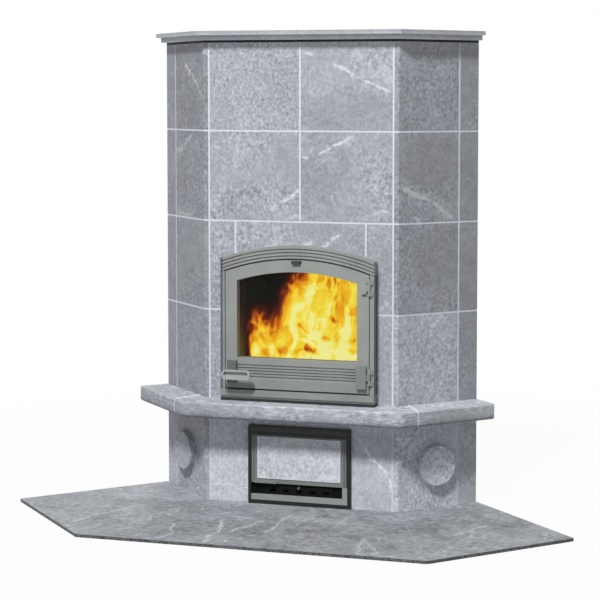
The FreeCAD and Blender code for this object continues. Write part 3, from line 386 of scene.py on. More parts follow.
def paintedShadeNose(s, colour, look, point, x, z):  # painted shade: the bench's face darkens towards its lower edge, along a rough line
    low, high, shade = look["nose"]
    rough = z + (s.noise(point, 60.0) - 0.5) * 0.03
    return s.scaled(colour, 1 - (1 - rough.rise(low, high)) * shade)


def darkSideFaces(s, colour, look, point, x, z):  # dark side faces of a thin slab below its top, in two tones mixed by noise
    rim = 1 - z.rise(look["edge"] - 0.0012, look["edge"] - 0.0004)
    mottle = s.noise(point, 160.0, detail=2.0).rise(0.35, 0.65)
    return s.mix(colour, s.mix((0.045, 0.048, 0.05), (0.16, 0.165, 0.17), mottle), rim)


def brightRim(s, colour, look, point, x, z):  # a pale broken band along the edges of the panel
    low, high = look["rim"]
    near = (x - low.x).smaller(high.x - x).smaller(z - low.z).smaller(high.z - z)
    mottle = s.noise(point, 120.0, detail=2.0).rise(0.30, 0.52)
    return s.mix(colour, look["vein"], (1 - near.rise(0.002, 0.006)) * mottle * 0.7)


def paintedLightUnderCornice(s, colour, look, point, x, z):  # painted light: a paler strip that lifts the cornice's cast shadow, then the painted shade of the dark seam
    strip = z.rise(towerTop - look["seam"], towerTop - look["seam"] * 0.6)
    return paintedSeamShade(s, s.scaled(colour, 1 + strip * 0.45), z)


def paintedStepLightAndShade(s, colour, look, point, x, z):  # painted light and shade on the cornice's steps: each is lighter towards its lower edge with a painted highlight along it, and the lower step, in the upper step's shadow, is painted much lighter
    low, high = look["steps"]
    upper = z.rise(low - 0.0004, low + 0.0004)
    share = ((z - towerTop) / (low - towerTop)) * (1 - upper) + ((z - low) / (high - low)) * upper
    paintedHighlight = 1 - share.rise(0.10, 0.22)
    lowerShade = 1.85 - share * 0.75 + paintedHighlight * 0.2
    upperShade = 0.95 - share * 0.14 + paintedHighlight * 0.12
    return s.scaled(colour, lowerShade * (1 - upper) + upperShade * upper)


stoneDetails = {"lower": paleToneAndPaintedLightBelow, "nose": paintedShadeNose, "edge": darkSideFaces, "rim": brightRim,
                "seam": paintedLightUnderCornice, "steps": paintedStepLightAndShade}


def soapstone(name, look):
    s = Surface(name)
    point = s.point()
    x, y, z = s.parts(point)
    plane = facePlane(s, look["face"], x, y - frontLine, z)
    # every block of a course is cut from another piece of rock
    row = ((z - benchTop) / courseHeight).floor()
    cell = s.join(x.sign(), row, look["seed"])
    rock = s.node("ShaderNodeTexWhiteNoise", {"noise_dimensions": "3D"}, {"Vector": cell}, out="Color")
    own = s.vectors("ADD", point, s.scaled(rock, look["rockShift"]))
    tone, _, warmth = s.parts(rock)
    # grain, from fine flecks to slow clouds, and calm places with less of it
    flecks = s.noise(s.vectors("MULTIPLY", own, look["stretch"]), look["fleckScale"], detail=2.0)
    fine = s.noise(own, look["fleckScale"] * 2.4, detail=2.0, rough=0.6)
    blotch = s.noise(own, look["blotchScale"], rough=0.62, warp=0.9)
    cloud = s.noise(own, look["cloudScale"], detail=4.0, warp=0.6)
    calm = s.noise(own, look["calmScale"], detail=2.0, rough=0.5, warp=0.4).rise(0.47, 0.60)
    calm = calm.larger(x.rise(-0.001, 0.001) * look["calmRight"])
    bent = s.vectors("ADD", plane, s.scaled(s.drift(point, 12.0, 5.0), look["wander"]))
    shade, calm = patchwork(s, bent, look["patches"], calm)
    level = (flecks - 0.5) * (1 - calm * 0.6) * look["fleck"] + (fine - 0.5) * look["fleck"] * 0.35
    level = level + (blotch - 0.5) * look["blotch"] + (cloud - 0.5) * look["cloud"]
    level = level + (tone - 0.5) * look["blockTone"] + shade + 1.0
    pits = s.noise(own, look["fleckScale"] * 1.15, detail=1.0, rough=0.5).rise(0.62, 0.74) * (1 - calm)
    colour = s.scaled(s.mix(look["cool"], look["warm"], calm * warmth), level - pits * look["pit"])
    # white: bright flecks, thin threads where a slow noise crosses its middle, and veins
    white = flecks.rise(0.60, 0.74) * (1 - calm) * look["glint"]
    crumbs = s.noise(point, 85.0, detail=2.0, rough=0.6).rise(0.48, 0.64) * 0.7
    ridge = abs(s.noise(own, 8.0, detail=4.0, warp=0.5) - 0.5)
    places = s.noise(own, 6.0, detail=2.0).rise(0.50, 0.62)
    threads = (1 - ridge.rise(0.002, 0.011)) * places * look["threads"]
    white = white.larger(threads * (crumbs + 0.4))
    if look["veins"]:
        broken = s.noise(point, 90.0, rough=0.65).rise(0.30, 0.56)
        white = white.larger(veinMask(s, bent, look["veins"], crumbs, look["veinWidth"]) * broken)
    colour = s.mix(colour, look["vein"], white)
    for key, detail in stoneDetails.items():
        if key in look:
            colour = detail(s, colour, look, point, x, z)
    return s.set(colour=colour, rough=0.5 + flecks * 0.25, specular=0.35,
                 normal=s.bump(flecks * 0.7 + fine * 0.5, look["bump"], look["relief"]))


stone = {"face": "front", "veins": (), "patches": (), "seed": 1.0, "stretch": (1.0, 1.0, 0.8),
         "rockShift": 7.0, "fleckScale": 112.0, "blotchScale": 30.0, "cloudScale": 7.0, "calmScale": 3.1,
         "fleck": 1.6, "blotch": 0.45, "cloud": 0.35, "pit": 0.22, "blockTone": 0.06, "calmRight": 0.0,
         "glint": 0.35, "threads": 0.5, "wander": 0.042, "veinWidth": 0.9, "bump": 0.5, "relief": 0.0015,
         "cool": srgb(170, 173, 180), "warm": srgb(167, 170, 177), "vein": srgb(220, 223, 230)}
frontLook = {
    **stone, "seam": 0.030, "lower": [(baseLevel, 0.60)], "calmRight": 0.6,
    "patches": [
        ((0.246, 1.417), (0.09, 0.05), 0.10, 0.1), ((0.153, 1.250), (0.17, 0.06), -0.07, 1.0),
        ((0.084, 1.363), (0.09, 0.06), 0.02, 0.9), ((0.084, 1.073), (0.10, 0.13), -0.11, 1.0),
        ((0.273, 1.025), (0.07, 0.12), -0.05, 0.0), ((-0.225, 1.121), (0.09, 0.05), 0.07, 0.3),
        ((-0.132, 0.977), (0.13, 0.06), -0.04, 0.0), ((-0.156, 1.234), (0.09, 0.04), 0.05, 0.0),
        ((-0.174, 1.363), (0.10, 0.06), -0.03, 0.1), ((0.246, 0.130), (0.09, 0.16), -0.13, 1.1),
        ((-0.246, 0.130), (0.09, 0.16), 0.0, 0.8)],
    "veins": [
        ((0.100, 1.401), (0.184, 1.363), 0.0065, 0.95), ((0.184, 1.363), (0.288, 1.309), 0.0060, 0.9),
        ((0.011, 1.438), (0.047, 1.425), 0.0060, 0.7), ((0.172, 1.436), (0.200, 1.409), 0.0050, 0.5),
        ((0.243, 1.395), (0.290, 1.345), 0.022, 0.45), ((0.180, 1.173), (0.100, 1.137), 0.0055, 0.95),
        ((0.100, 1.137), (0.055, 1.112), 0.0060, 0.8), ((0.002, 1.107), (0.031, 1.106), 0.0050, 0.8),
        ((0.010, 1.118), (0.046, 1.135), 0.010, 0.45), ((-0.004, 1.011), (-0.067, 0.967), 0.0075, 0.95),
        ((-0.067, 0.967), (-0.100, 0.944), 0.0120, 0.7), ((-0.008, 0.929), (-0.042, 0.907), 0.0060, 0.9),
        ((0.233, 0.933), (0.284, 0.945), 0.0055, 0.75), ((0.011, 0.822), (0.046, 0.845), 0.0090, 0.8),
        ((0.050, 0.818), (0.136, 0.866), 0.0065, 0.9), ((-0.126, 0.802), (-0.050, 0.861), 0.0080, 0.5),
        ((0.256, 0.626), (0.294, 0.674), 0.0060, 0.6), ((0.203, 0.204), (0.253, 0.159), 0.0040, 0.7),
        ((0.253, 0.159), (0.286, 0.123), 0.0045, 0.7), ((0.286, 0.123), (0.300, 0.071), 0.0045, 0.6)]}
# the sides' stone is a darker copy of the front's: painted shade that deepens the weaker light on the sides
sideLook = {**stone, "cool": srgb(152, 155, 162), "warm": srgb(151, 153, 159), "vein": srgb(200, 203, 208),
            "fleck": 1.45, "pit": 0.14, "blotch": 0.6, "seam": 0.055, "glint": 0.3}
leftLook = {
    **sideLook, "face": "left", "seed": 2.0, "cool": srgb(147, 150, 157), "lower": [(baseLevel, 0.45)],
    "patches": [
        ((0.110, 1.335), (0.20, 0.15), -0.07, 0.3), ((0.110, 0.480), (0.20, 0.15), 0.09, 0.2)],
    "veins": [
        ((0.144, 1.403), (0.095, 1.370), 0.0075, 0.9), ((0.095, 1.370), (0.037, 1.327), 0.0065, 0.85),
        ((0.037, 1.327), (0.009, 1.291), 0.0060, 0.6), ((0.090, 1.178), (0.153, 1.136), 0.0070, 0.7),
        ((0.153, 1.136), (0.213, 1.109), 0.0090, 0.6), ((0.213, 0.912), (0.066, 0.927), 0.0070, 0.6)]}
rightLook = {
    **sideLook, "face": "right", "seed": 3.0, "lower": [(benchTop + courseHeight, 0.42), (baseLevel, 0.38)],
    "patches": [
        ((0.120, 1.330), (0.16, 0.15), 0.03, 0.0), ((0.050, 1.400), (0.06, 0.05), 0.06, 0.2),
        ((0.120, 1.100), (0.15, 0.09), -0.03, 1.0), ((0.120, 0.940), (0.15, 0.05), 0.02, 0.0),
        ((0.160, 0.800), (0.12, 0.12), -0.02, 0.9), ((0.060, 0.670), (0.09, 0.05), 0.05, 0.1),
        ((0.120, 0.480), (0.18, 0.17), 0.06, 0.0), ((0.100, 0.595), (0.09, 0.02), 0.10, 0.0)],
    "veins": [
        ((0.006, 1.024), (0.118, 0.967), 0.0080, 0.85), ((0.118, 0.967), (0.205, 0.918), 0.0100, 0.7),
        ((0.048, 0.924), (0.085, 0.909), 0.0070, 0.7), ((0.115, 0.164), (0.205, 0.130), 0.0050, 0.8),
        ((0.180, 0.640), (0.110, 0.560), 0.0050, 0.5)]}
leftPlugLook = {**sideLook, "seed": 11.0, "lower": [(baseLevel, 0.6)]}
rightPlugLook = {**rightLook, "seed": 10.0, "lower": [(baseLevel, 1.2)], "patches": ()}
stripLook = {**sideLook, "seed": 4.0, "fleck": 0.8, "lower": [(baseLevel, 0.7)]}
backLook = {**stone, "seed": 5.0, "cool": srgb(150, 152, 156), "bump": 0.6}
benchLook = {**stone, "seed": 6.0, "cool": srgb(184, 187, 194), "stretch": (0.45, 0.45, 1.3), "cloud": 0.5,
             "nose": (0.285, 0.326, 0.42)}
leftBenchLook = {**benchLook, "seed": 12.0, "cool": srgb(173, 176, 183)}
corniceLook = {**stone, "seed": 7.0, "cool": srgb(186, 189, 194), "fleck": 0.4, "cloud": 0.2, "glint": 0.1,
               "steps": (towerTop + 0.015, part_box("cornice_front")[1].z)}
hearthLook = {
    **stone, "face": "flat", "seed": 8.0, "cool": srgb(150, 153, 158), "warm": srgb(151, 154, 158),
    "vein": srgb(205, 208, 213), "fleck": 1.5, "cloud": 1.3, "stretch": (0.5, 0.5, 0.5), "edge": 0.01,
    "glint": 0.12, "blockTone": 0.0, "threads": 1.3, "wander": 0.075, "veinWidth": 0.5,
    "patches": [
        ((-0.05, -0.36), (0.45, 0.20), -0.12, 0.3), ((-0.66, -0.02), (0.30, 0.36), 0.10, 0.3),
        ((0.62, -0.10), (0.20, 0.30), -0.12, 0.3), ((-0.30, -0.12), (0.22, 0.10), -0.06, 0.3)],
    "veins": [
        ((-0.606, -0.373), (-0.582, -0.292), 0.010, 0.8), ((-0.582, -0.292), (-0.491, -0.135), 0.010, 0.7),
        ((-0.142, -0.512), (-0.141, -0.404), 0.009, 0.8), ((-0.141, -0.404), (-0.169, -0.234), 0.009, 0.8),
        ((-0.101, -0.378), (-0.051, -0.211), 0.010, 0.8), ((0.000, -0.365), (0.009, -0.217), 0.008, 0.7),
        ((0.009, -0.217), (0.009, -0.100), 0.008, 0.7), ((-0.282, -0.505), (-0.265, -0.423), 0.009, 0.7),
        ((-0.265, -0.423), (-0.293, -0.318), 0.009, 0.7), ((-0.427, -0.453), (-0.408, -0.399), 0.010, 0.5),
        ((-0.616, 0.014), (-0.534, -0.075), 0.010, 0.6), ((0.173, -0.187), (0.208, -0.078), 0.009, 0.6),
        ((0.321, -0.514), (0.308, -0.325), 0.008, 0.6), ((0.308, -0.325), (0.375, -0.499), 0.008, 0.6),
        ((0.537, -0.232), (0.616, -0.093), 0.009, 0.8), ((0.079, -0.253), (0.120, -0.266), 0.012, 0.5),
        ((0.470, -0.300), (0.540, -0.330), 0.012, 0.3)]}
# the panel's stone is a paler copy: painted light against the bench's shadow on the panel
panelLook = {
    **stone, "seed": 9.0, "cool": srgb(210, 213, 221), "warm": srgb(208, 211, 218),
    "vein": srgb(236, 238, 242), "fleck": 1.0, "fleckScale": 120.0, "rim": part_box("ash_door_panel"),
    "veins": [
        ((-0.136, 0.185), (-0.068, 0.208), 0.0055, 0.9), ((-0.068, 0.208), (0.017, 0.218), 0.0050, 0.8),
        ((0.060, 0.100), (0.132, 0.112), 0.0080, 0.8), ((-0.135, 0.097), (-0.100, 0.101), 0.0060, 0.9),
        ((0.100, 0.160), (0.130, 0.120), 0.0080, 0.4), ((-0.030, 0.104), (0.010, 0.112), 0.0060, 0.6)]}


def paint(material, *names):
    for name in names:
        for slot in nodes[name].material_slots:
            slot.material = material


paint(soapstone("soapstone front", frontLook), "upper_front_blocks", "door_lintel_block",
      "lintel_end_blocks", "door_jambs", "base_piers")
paint(soapstone("soapstone left", leftLook), "left_side_blocks", "base_left_side_block")
paint(soapstone("soapstone right", rightLook), "right_side_blocks", "base_right_side_block")
paint(soapstone("soapstone right plug", rightPlugLook), "right_soot_plug")
paint(soapstone("soapstone left plug", leftPlugLook), "left_soot_plug")
paint(soapstone("soapstone strips", stripLook), "left_edge_strips", "right_edge_strips")
paint(soapstone("soapstone back", backLook), "left_back_slabs", "right_back_slabs", "top_slab",
      "threshold_block")
paint(soapstone("soapstone bench", benchLook), "bench_front_slab", "bench_right_slab")
paint(soapstone("soapstone left bench", leftBenchLook), "bench_left_slab")
paint(soapstone("soapstone cornice", corniceLook), "cornice_front", "cornice_left", "cornice_right")
paint(soapstone("soapstone hearth", hearthLook), "hearth_front_slab", "hearth_left_slab",
      "hearth_right_slab")
paint(soapstone("soapstone panel", panelLook), "ash_door_panel")
print("stone painted")

# mortar: joints of the courses, flush strips in the hearth, and beads on the bench
mortarLook = {"light": srgb(226, 229, 238), "dark": srgb(204, 207, 216)}
jointLook = {"half": 0.0014, "drop": 0.0006, "short": 0.0006, "light": srgb(196, 199, 206),
             "dark": srgb(150, 153, 160)}
beadLook = {"half": 0.004, "rise": 0.0024, "outer": (0.3972, -0.0622), "inner": (0.3449, 0.0269),
            "start": 0.07, "runOut": 0.06}


def courseMortar(look):
    s = Surface("mortar")
    point = s.point()
    grit = s.noise(point, 160.0, rough=0.6)
    colour = s.mix(look["dark"], look["light"], grit.rise(0.25, 0.60))
    # the mortar takes the same painted shade under the cornice
    return s.set(colour=paintedSeamShade(s, colour, s.parts(point)[2]), rough=0.9, specular=0.2,
                 normal=s.bump(grit, 0.4, 0.001))


def hearthMortar(name, look):
    s = Surface(name)
    grit = s.noise(s.point(), 210.0)
    return s.set(colour=s.mix(look["dark"], look["light"], grit.rise(0.35, 0.6)), rough=0.9, specular=0.2)


def hearthJoint(name, hand, look):
    # a flat strip along the mitre between two hearth slabs, from the tower's corner to the slab's corner
    low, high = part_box("hearth_front_slab")
    ends = np.array([[cornerHalf, frontLine], [high.x, low.y + look["short"]]])
    along = (ends[1] - ends[0]) / np.linalg.norm(ends[1] - ends[0])
    side = np.array([-along[1], along[0]]) * look["half"]
    plan = np.stack([np.linspace(*(ends + side), 9), np.linspace(*(ends - side), 9)])
    level = np.full(plan.shape[:2] + (1,), high.z - look["drop"])
    points = np.concatenate([plan * np.array([hand, 1]), level], axis=-1)
    piece = gridMesh(name, points[::hand], hearthMortar(name, look))
    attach(piece, "heater")


def benchBead(name, hand, look, material):
    # half an ellipse carried along the joint, from inside the slab's rounded edge to the tower
    start, end = np.array(look["outer"]), np.array(look["inner"])
    side = np.array([start[1] - end[1], end[0] - start[0]]) / np.linalg.norm(end - start)
    share, turn = np.meshgrid(np.linspace(look["start"], 1, 25), np.linspace(0, math.pi, 9), indexing="ij")
    plan = start + share[..., None] * (end - start) + np.cos(turn)[..., None] * side * look["half"]
    rise = look["rise"] * np.clip((share - look["start"]) / look["runOut"], 0, 1)  # low at the slab's edge
    up = benchTop + rise * np.sin(turn)
    points = np.concatenate([plan * np.array([hand, 1]) + np.array([0, frontLine]), up[..., None]], axis=-1)
    piece = gridMesh(name, points[::hand], material)
    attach(piece, "heater")


mortar = courseMortar(mortarLook)
paint(mortar, "bed_joints", "head_joints")
for jointName, jointHand in (("hearth_joint_left", -1), ("hearth_joint_right", 1)):
    hearthJoint(jointName, jointHand, jointLook)
for beadName, beadHand in (("bench_bead_left", -1), ("bench_bead_right", 1)):
    benchBead(beadName, beadHand, beadLook, mortar)
print("mortar laid")

# grey painted iron, with painted shade and other darker or lighter marks where each casting shows them
ironLook = {"light": srgb(158, 162, 159), "dark": srgb(142, 146, 144), "shadow": (0.02, 0.022, 0.022)}
leverLook = {**ironLook, "light": srgb(178, 182, 180), "dark": srgb(150, 154, 152)}
# painted shade: the latch plate is painted darker than the leaf, for the shade under the lever
latchLook = {**ironLook, "light": srgb(114, 118, 115), "dark": srgb(96, 100, 98)}
sillLook = {**ironLook, "light": srgb(150, 154, 151), "dark": srgb(134, 138, 136), "foot": benchTop + 0.0096}
strapLook = {**ironLook, "between": 0.51, "dull": 0.22}  # a level between the two straps
# dull sets how strong the painted shade below the ridges is
leafLook = {**ironLook, "ridgeBottom": benchTop + 0.072, "dull": 0.13}
frameLook = {**ironLook, "edge": (0.003, 0.011), "edgeShade": 0.75, "soot": (-0.012, -0.004), "side": 0.55}
archLook = {**ironLook, "radius": 0.7322, "peak": 0.834, "trim": 0.042, "line": 0.0028, "grooves": 3,
            "grooveShade": 0.2}
ashLeafLook = {**ironLook, "light": srgb(134, 138, 135), "dark": srgb(118, 122, 120), "line": 0.6,
               "lineShade": 0.6}
ashFrameLook = {"light": srgb(56, 58, 56), "dark": srgb(44, 46, 44), "shadow": srgb(24, 26, 26),
                "bandHalf": 0.158, "bandLow": 0.38, "bandHigh": 0.80}


def paintedIron(name, look, shade=None):
    # cast surface under matt paint: fine grain, slow drift of tone
    s = Surface(name)
    point = s.point()
    grain = s.noise(point, 620.0, detail=2.0, rough=0.6)
    tone = s.noise(point, 9.0)
    colour = s.mix(look["dark"], look["light"], (tone * 0.6 + grain * 0.4).rise(0.30, 0.70))
    if shade:
        colour = s.mix(colour, look["shadow"], shade(*s.parts(point)))
    return s.set(colour=colour, rough=0.42 + grain * 0.2, specular=0.4, normal=s.bump(grain, 0.12, 0.0006))


def leftEdge(x):  # shade along the left edge of the fire door's frame
    start, end = frameLook["edge"]
    return (1 - x.rise(start - frameHalf, end - frameHalf)) * frameLook["edgeShade"]


def underTrim(x, y, z):  # painted shade: a dark seam line along the arch trim's inner edge, and in its grooves
    radius, trim, line, grooves = (archLook[key] for key in ("radius", "trim", "line", "grooves"))
    up = z - (archLook["peak"] - radius)
    inward = radius - (x * x + up * up) ** 0.5  # how far inside the arch's outer circle
    seam = inward.rise(trim - line, trim - line * 0.6)
    for groove in range(1, grooves + 1):
        off = abs(inward - trim * groove / (grooves + 1))
        seam = seam.larger((1 - off.rise(0.0010, 0.0024)) * archLook["grooveShade"])
    return seam.larger(leftEdge(x))


def paintedShadeBelowRidges(x, y, z):  # painted shade: the leaf is darker below its ridges
    bottom = leafLook["ridgeBottom"]
    return (1 - z.rise(bottom - 0.004, bottom)) * leafLook["dull"]


def insideTunnel(x, y, z):  # soot behind the front face, and painted shade on the outer side faces
    side = abs(x).rise(frameHalf - 0.0008, frameHalf - 0.0004) * frameLook["side"]
    return (y - frontLine).rise(*frameLook["soot"]).larger(side).larger(leftEdge(x))


def paintedShadeBesidePanel(x, y, z):  # painted shade: a dark line down each stile of the ash door, for the shadow of a moulding
    panel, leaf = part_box("ash_door_panel")[1].x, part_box("ash_door_leaf")[1].x
    off = abs(abs(x) - (panel + (leaf - panel) * ashLeafLook["line"]))
    return (1 - off.rise(0.0012, 0.0026)) * ashLeafLook["lineShade"]


def outsideBand(x, y, z):  # painted light: the ash frame is black but for a lighter band across its top, standing for light on a bevel
    low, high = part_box("ash_door_leaf")[1].z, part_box("ash_door_frame")[1].z
    up = (z - low) / (high - low)
    half, bottom, top = (ashFrameLook[key] for key in ("bandHalf", "bandLow", "bandHigh"))
    inside = 1 - abs(x).rise(half - 0.001, half + 0.001)
    return 1 - up.rise(bottom - 0.02, bottom + 0.02) * (1 - up.rise(top - 0.02, top + 0.02)) * inside


def lowStrap(x, y, z):  # the lower strap is darker
    return (1 - z.rise(strapLook["between"] - 0.01, strapLook["between"] + 0.01)) * strapLook["dull"]


def paintedShadeUnderSill(x, y, z):  # painted shade: a dark line where the sill stands on the bench
    return 1 - z.rise(sillLook["foot"] - 0.0006, sillLook["foot"] + 0.0006)


paint(paintedIron("grey painted iron", ironLook), "ash_sill_bar", "frame_hinge_knuckles",
      "fire_door_hinge_pins")
paint(paintedIron("strap iron", strapLook, lowStrap), "hinge_straps")
paint(paintedIron("latch plate iron", latchLook), "latch_plate")
paint(paintedIron("lever iron", leverLook), "fire_door_handle")
paint(paintedIron("ash door iron", ashLeafLook, paintedShadeBesidePanel), "ash_door_leaf")
paint(paintedIron("frame iron", frameLook, insideTunnel), "fire_door_frame")
paint(paintedIron("leaf iron", leafLook, paintedShadeBelowRidges), "fire_door_leaf")
paint(paintedIron("arch trim iron", archLook, underTrim), "arch_trim")
paint(paintedIron("sill iron", sillLook, paintedShadeUnderSill), "fire_door_sill")
paint(paintedIron("ash frame iron", ashFrameLook, outsideBand), "ash_door_frame")
print("iron painted")

# black iron, steel, brick, rope and glass
blackLook = {"colour": srgb(24, 26, 26), "rough": 0.45, "gloss": 0.35}
knobLook = {**blackLook, "colour": srgb(56, 62, 59)}
grilleLook = {"colour": srgb(20, 21, 21), "rough": 0.7, "gloss": 0.08}
slideLook = {"plate": srgb(20, 21, 21), "knob": srgb(104, 108, 104), "knobFoot": -0.0075}
fireboxLook = {"soot": srgb(11, 24, 17), "clay": srgb(34, 36, 27)}
cleanBrickLook = {"soot": srgb(150, 128, 104), "clay": srgb(190, 164, 132)}
ropeLook = {"colour": srgb(150, 146, 138), "turns": 900.0}
glassLook = {"colour": srgb(14, 18, 15), "clear": 0.10, "film": 0.06}


def blackIron(name, look):
    s = Surface(name)
    grain = s.noise(s.point(), 420.0, rough=0.6)
    return s.set(colour=s.scaled(look["colour"], grain * 0.8 + 0.6), rough=look["rough"] + grain * 0.2,
                 specular=look["gloss"], normal=s.bump(grain, 0.2, 0.0006))


def slideIron(name, look):  # a dark plate with a lighter knob that stands out of it
    s = Surface(name)
    point = s.point()
    grain = s.noise(point, 420.0, rough=0.6)
    knob = 1 - (s.parts(point)[1] - frontLine).rise(look["knobFoot"] - 0.001, look["knobFoot"] + 0.001)
    return s.set(colour=s.mix(look["plate"], look["knob"], knob), rough=0.7, specular=0.08,
                 normal=s.bump(grain, 0.2, 0.0006))


def steel(name, colour):  # drawn lines that run up the piece
    s = Surface(name)
    lines = s.noise(s.vectors("MULTIPLY", s.point(), (1.0, 1.0, 0.04)), 900.0, detail=2.0)
    return s.set(colour=s.scaled(colour, lines * 0.5 + 0.75), rough=0.34 + lines * 0.2, metal=0.85,
                 normal=s.bump(lines, 0.1, 0.0003))


def firebrick(name, look):
    s = Surface(name)
    point = s.point()
    grain = s.noise(point, 190.0, detail=4.0, rough=0.65)
    patch = s.noise(point, 12.0, detail=4.0, rough=0.6)
    colour = s.mix(look["soot"], look["clay"], (patch * 0.8 + grain * 0.3).rise(0.52, 0.86))
    return s.set(colour=colour, rough=0.85, specular=0.15, normal=s.bump(grain, 0.5, 0.0015))


def wovenRope(name, look):
    s = Surface(name)
    x, _, z = s.parts(s.point())
    strand = ((x + z) * look["turns"]).sine()
    return s.set(colour=s.scaled(look["colour"], strand * 0.18 + 0.82), rough=0.95,
                 normal=s.bump(strand, 0.5, 0.001))


def doorGlass(name, look):
    s = Surface(name)
    film = s.noise(s.point(), 5.0)
    return s.set(colour=look["colour"], rough=0.05, alpha=look["clear"] + film * look["film"], specular=0.5)


paint(blackIron("black iron", blackLook), "grate", "flue_socket")
paint(blackIron("knob iron", knobLook), "airwash_slide")
paint(blackIron("grille iron", grilleLook), "air_grille")
paint(slideIron("air slide iron", slideLook), "air_slide")
paint(steel("bright steel", srgb(170, 172, 174)), "latch_cam", "ash_hinge_bracket", "ash_door_hinge_pins",
      "glass_retainer")
paint(steel("dull sheet steel", srgb(120, 121, 122)), "ash_pan")
paint(doorGlass("door glass", glassLook), "fire_door_glass")
paint(wovenRope("seal rope", ropeLook), "fire_door_rope")
paint(firebrick("sooted firebrick", fireboxLook), "firebox_walls", "core_front_wall", "throat_slabs",
      "firebox_floor")
paint(firebrick("clean firebrick", cleanBrickLook), "ash_pit_floor", "plinth_walls", "channel_dividers")
print("black iron, steel, brick, rope and glass painted")

# fire: sheets of flame, and logs and embers on the grate
fireBox = {"left": -0.203, "right": 0.203, "bottom": 0.415, "top": 0.770}
flames = {
    "flame_front": {
        "deep": 0.068, "wave": 0.4, "shift": 0.0, "heat": 0.83, "body": "heater",
        "heights": [(0.0, 0.33), (0.05, 0.44), (0.10, 0.49), (0.185, 0.445), (0.25, 0.50), (0.30, 0.61),
                    (0.36, 0.72), (0.42, 0.86), (0.50, 0.97), (0.60, 1.15), (1.0, 1.18)]},
    "flame_behind": {
        "deep": 0.190, "wave": 2.1, "shift": 1.7, "heat": 0.5, "body": "lift_grate",
        "heights": [(0.0, 0.02), (0.15, 0.25), (0.30, 0.62), (0.45, 0.8), (0.65, 0.7), (0.85, 0.8),
                    (1.0, 0.6)]}}
flameLook = {
    "power": 1.13, "curl": 0.13, "wispScale": 9.0, "lickScale": 30.0, "wisps": 1.1, "licks": 1.3,
    "strands": 0.22, "spotSwirl": 0.08, "strokeSwirl": 0.035,
    "colours": [(0.0, srgb(50, 13, 5)), (0.13, srgb(112, 36, 8)), (0.28, srgb(212, 104, 12)),
                (0.44, srgb(244, 170, 22)), (0.62, srgb(254, 214, 44)), (0.86, srgb(255, 236, 82)),
                (1.0, srgb(255, 248, 150))],
    "spots": [  # middle, half sizes, change of heat
        ((0.024, 0.640), (0.060, 0.110), 0.16), ((-0.150, 0.510), (0.050, 0.060), 0.22),
        ((0.104, 0.472), (0.100, 0.024), 0.18), ((0.077, 0.566), (0.034, 0.040), -0.26),
        ((0.077, 0.748), (0.150, 0.050), -0.16), ((0.184, 0.670), (0.034, 0.100), -0.26),
        ((0.011, 0.485), (0.026, 0.016), -0.42), ((-0.110, 0.485), (0.034, 0.024), -0.28),
        ((0.120, 0.640), (0.050, 0.060), -0.08)],
    "strokes": [  # start, end, half width, change of heat
        ((-0.193, 0.559), (-0.177, 0.470), 0.006, 0.30), ((-0.131, 0.558), (-0.109, 0.483), 0.007, 0.16),
        ((0.005, 0.674), (-0.011, 0.584), 0.013, 0.22), ((0.024, 0.717), (0.012, 0.653), 0.010, 0.14),
        ((-0.043, 0.543), (0.016, 0.506), 0.006, 0.26), ((0.016, 0.506), (0.156, 0.479), 0.007, 0.26),
        ((-0.017, 0.562), (0.046, 0.522), 0.005, 0.22), ((0.046, 0.522), (0.160, 0.509), 0.006, 0.24),
        ((0.142, 0.551), (0.127, 0.642), 0.007, 0.16), ((-0.125, 0.486), (-0.080, 0.470), 0.006, 0.20),
        ((-0.027, 0.576), (0.035, 0.532), 0.005, -0.26), ((0.068, 0.562), (0.059, 0.532), 0.006, -0.12),
        ((0.098, 0.516), (0.162, 0.532), 0.005, -0.20), ((-0.006, 0.488), (0.061, 0.473), 0.007, -0.18),
        ((-0.092, 0.613), (-0.118, 0.537), 0.008, -0.16), ((0.046, 0.632), (0.035, 0.561), 0.009, -0.14),
        ((0.097, 0.670), (0.075, 0.562), 0.008, -0.16), ((-0.065, 0.485), (-0.017, 0.484), 0.008, -0.24)]}


def heatMarks(s, plane, swirl, look):  # soft ovals and strokes that are hotter or cooler, swirled by noise
    marks = 0.0
    spotPlane = s.vectors("ADD", plane, s.scaled(swirl, look["spotSwirl"]))
    strokePlane = s.vectors("ADD", plane, s.scaled(swirl, look["strokeSwirl"]))
    for middle, half, change in look["spots"]:
        marks = oval(s, spotPlane, middle, half) * change + marks
    for start, end, half, change in look["strokes"]:
        along, off, length = measure(s, strokePlane, start, end)
        ends = 1 - abs(along - length / 2).rise(length / 2 - 0.008, length / 2 + 0.012)
        marks = ends * (1 - off.rise(half * 0.3, half * 1.8)) * change + marks
    return marks


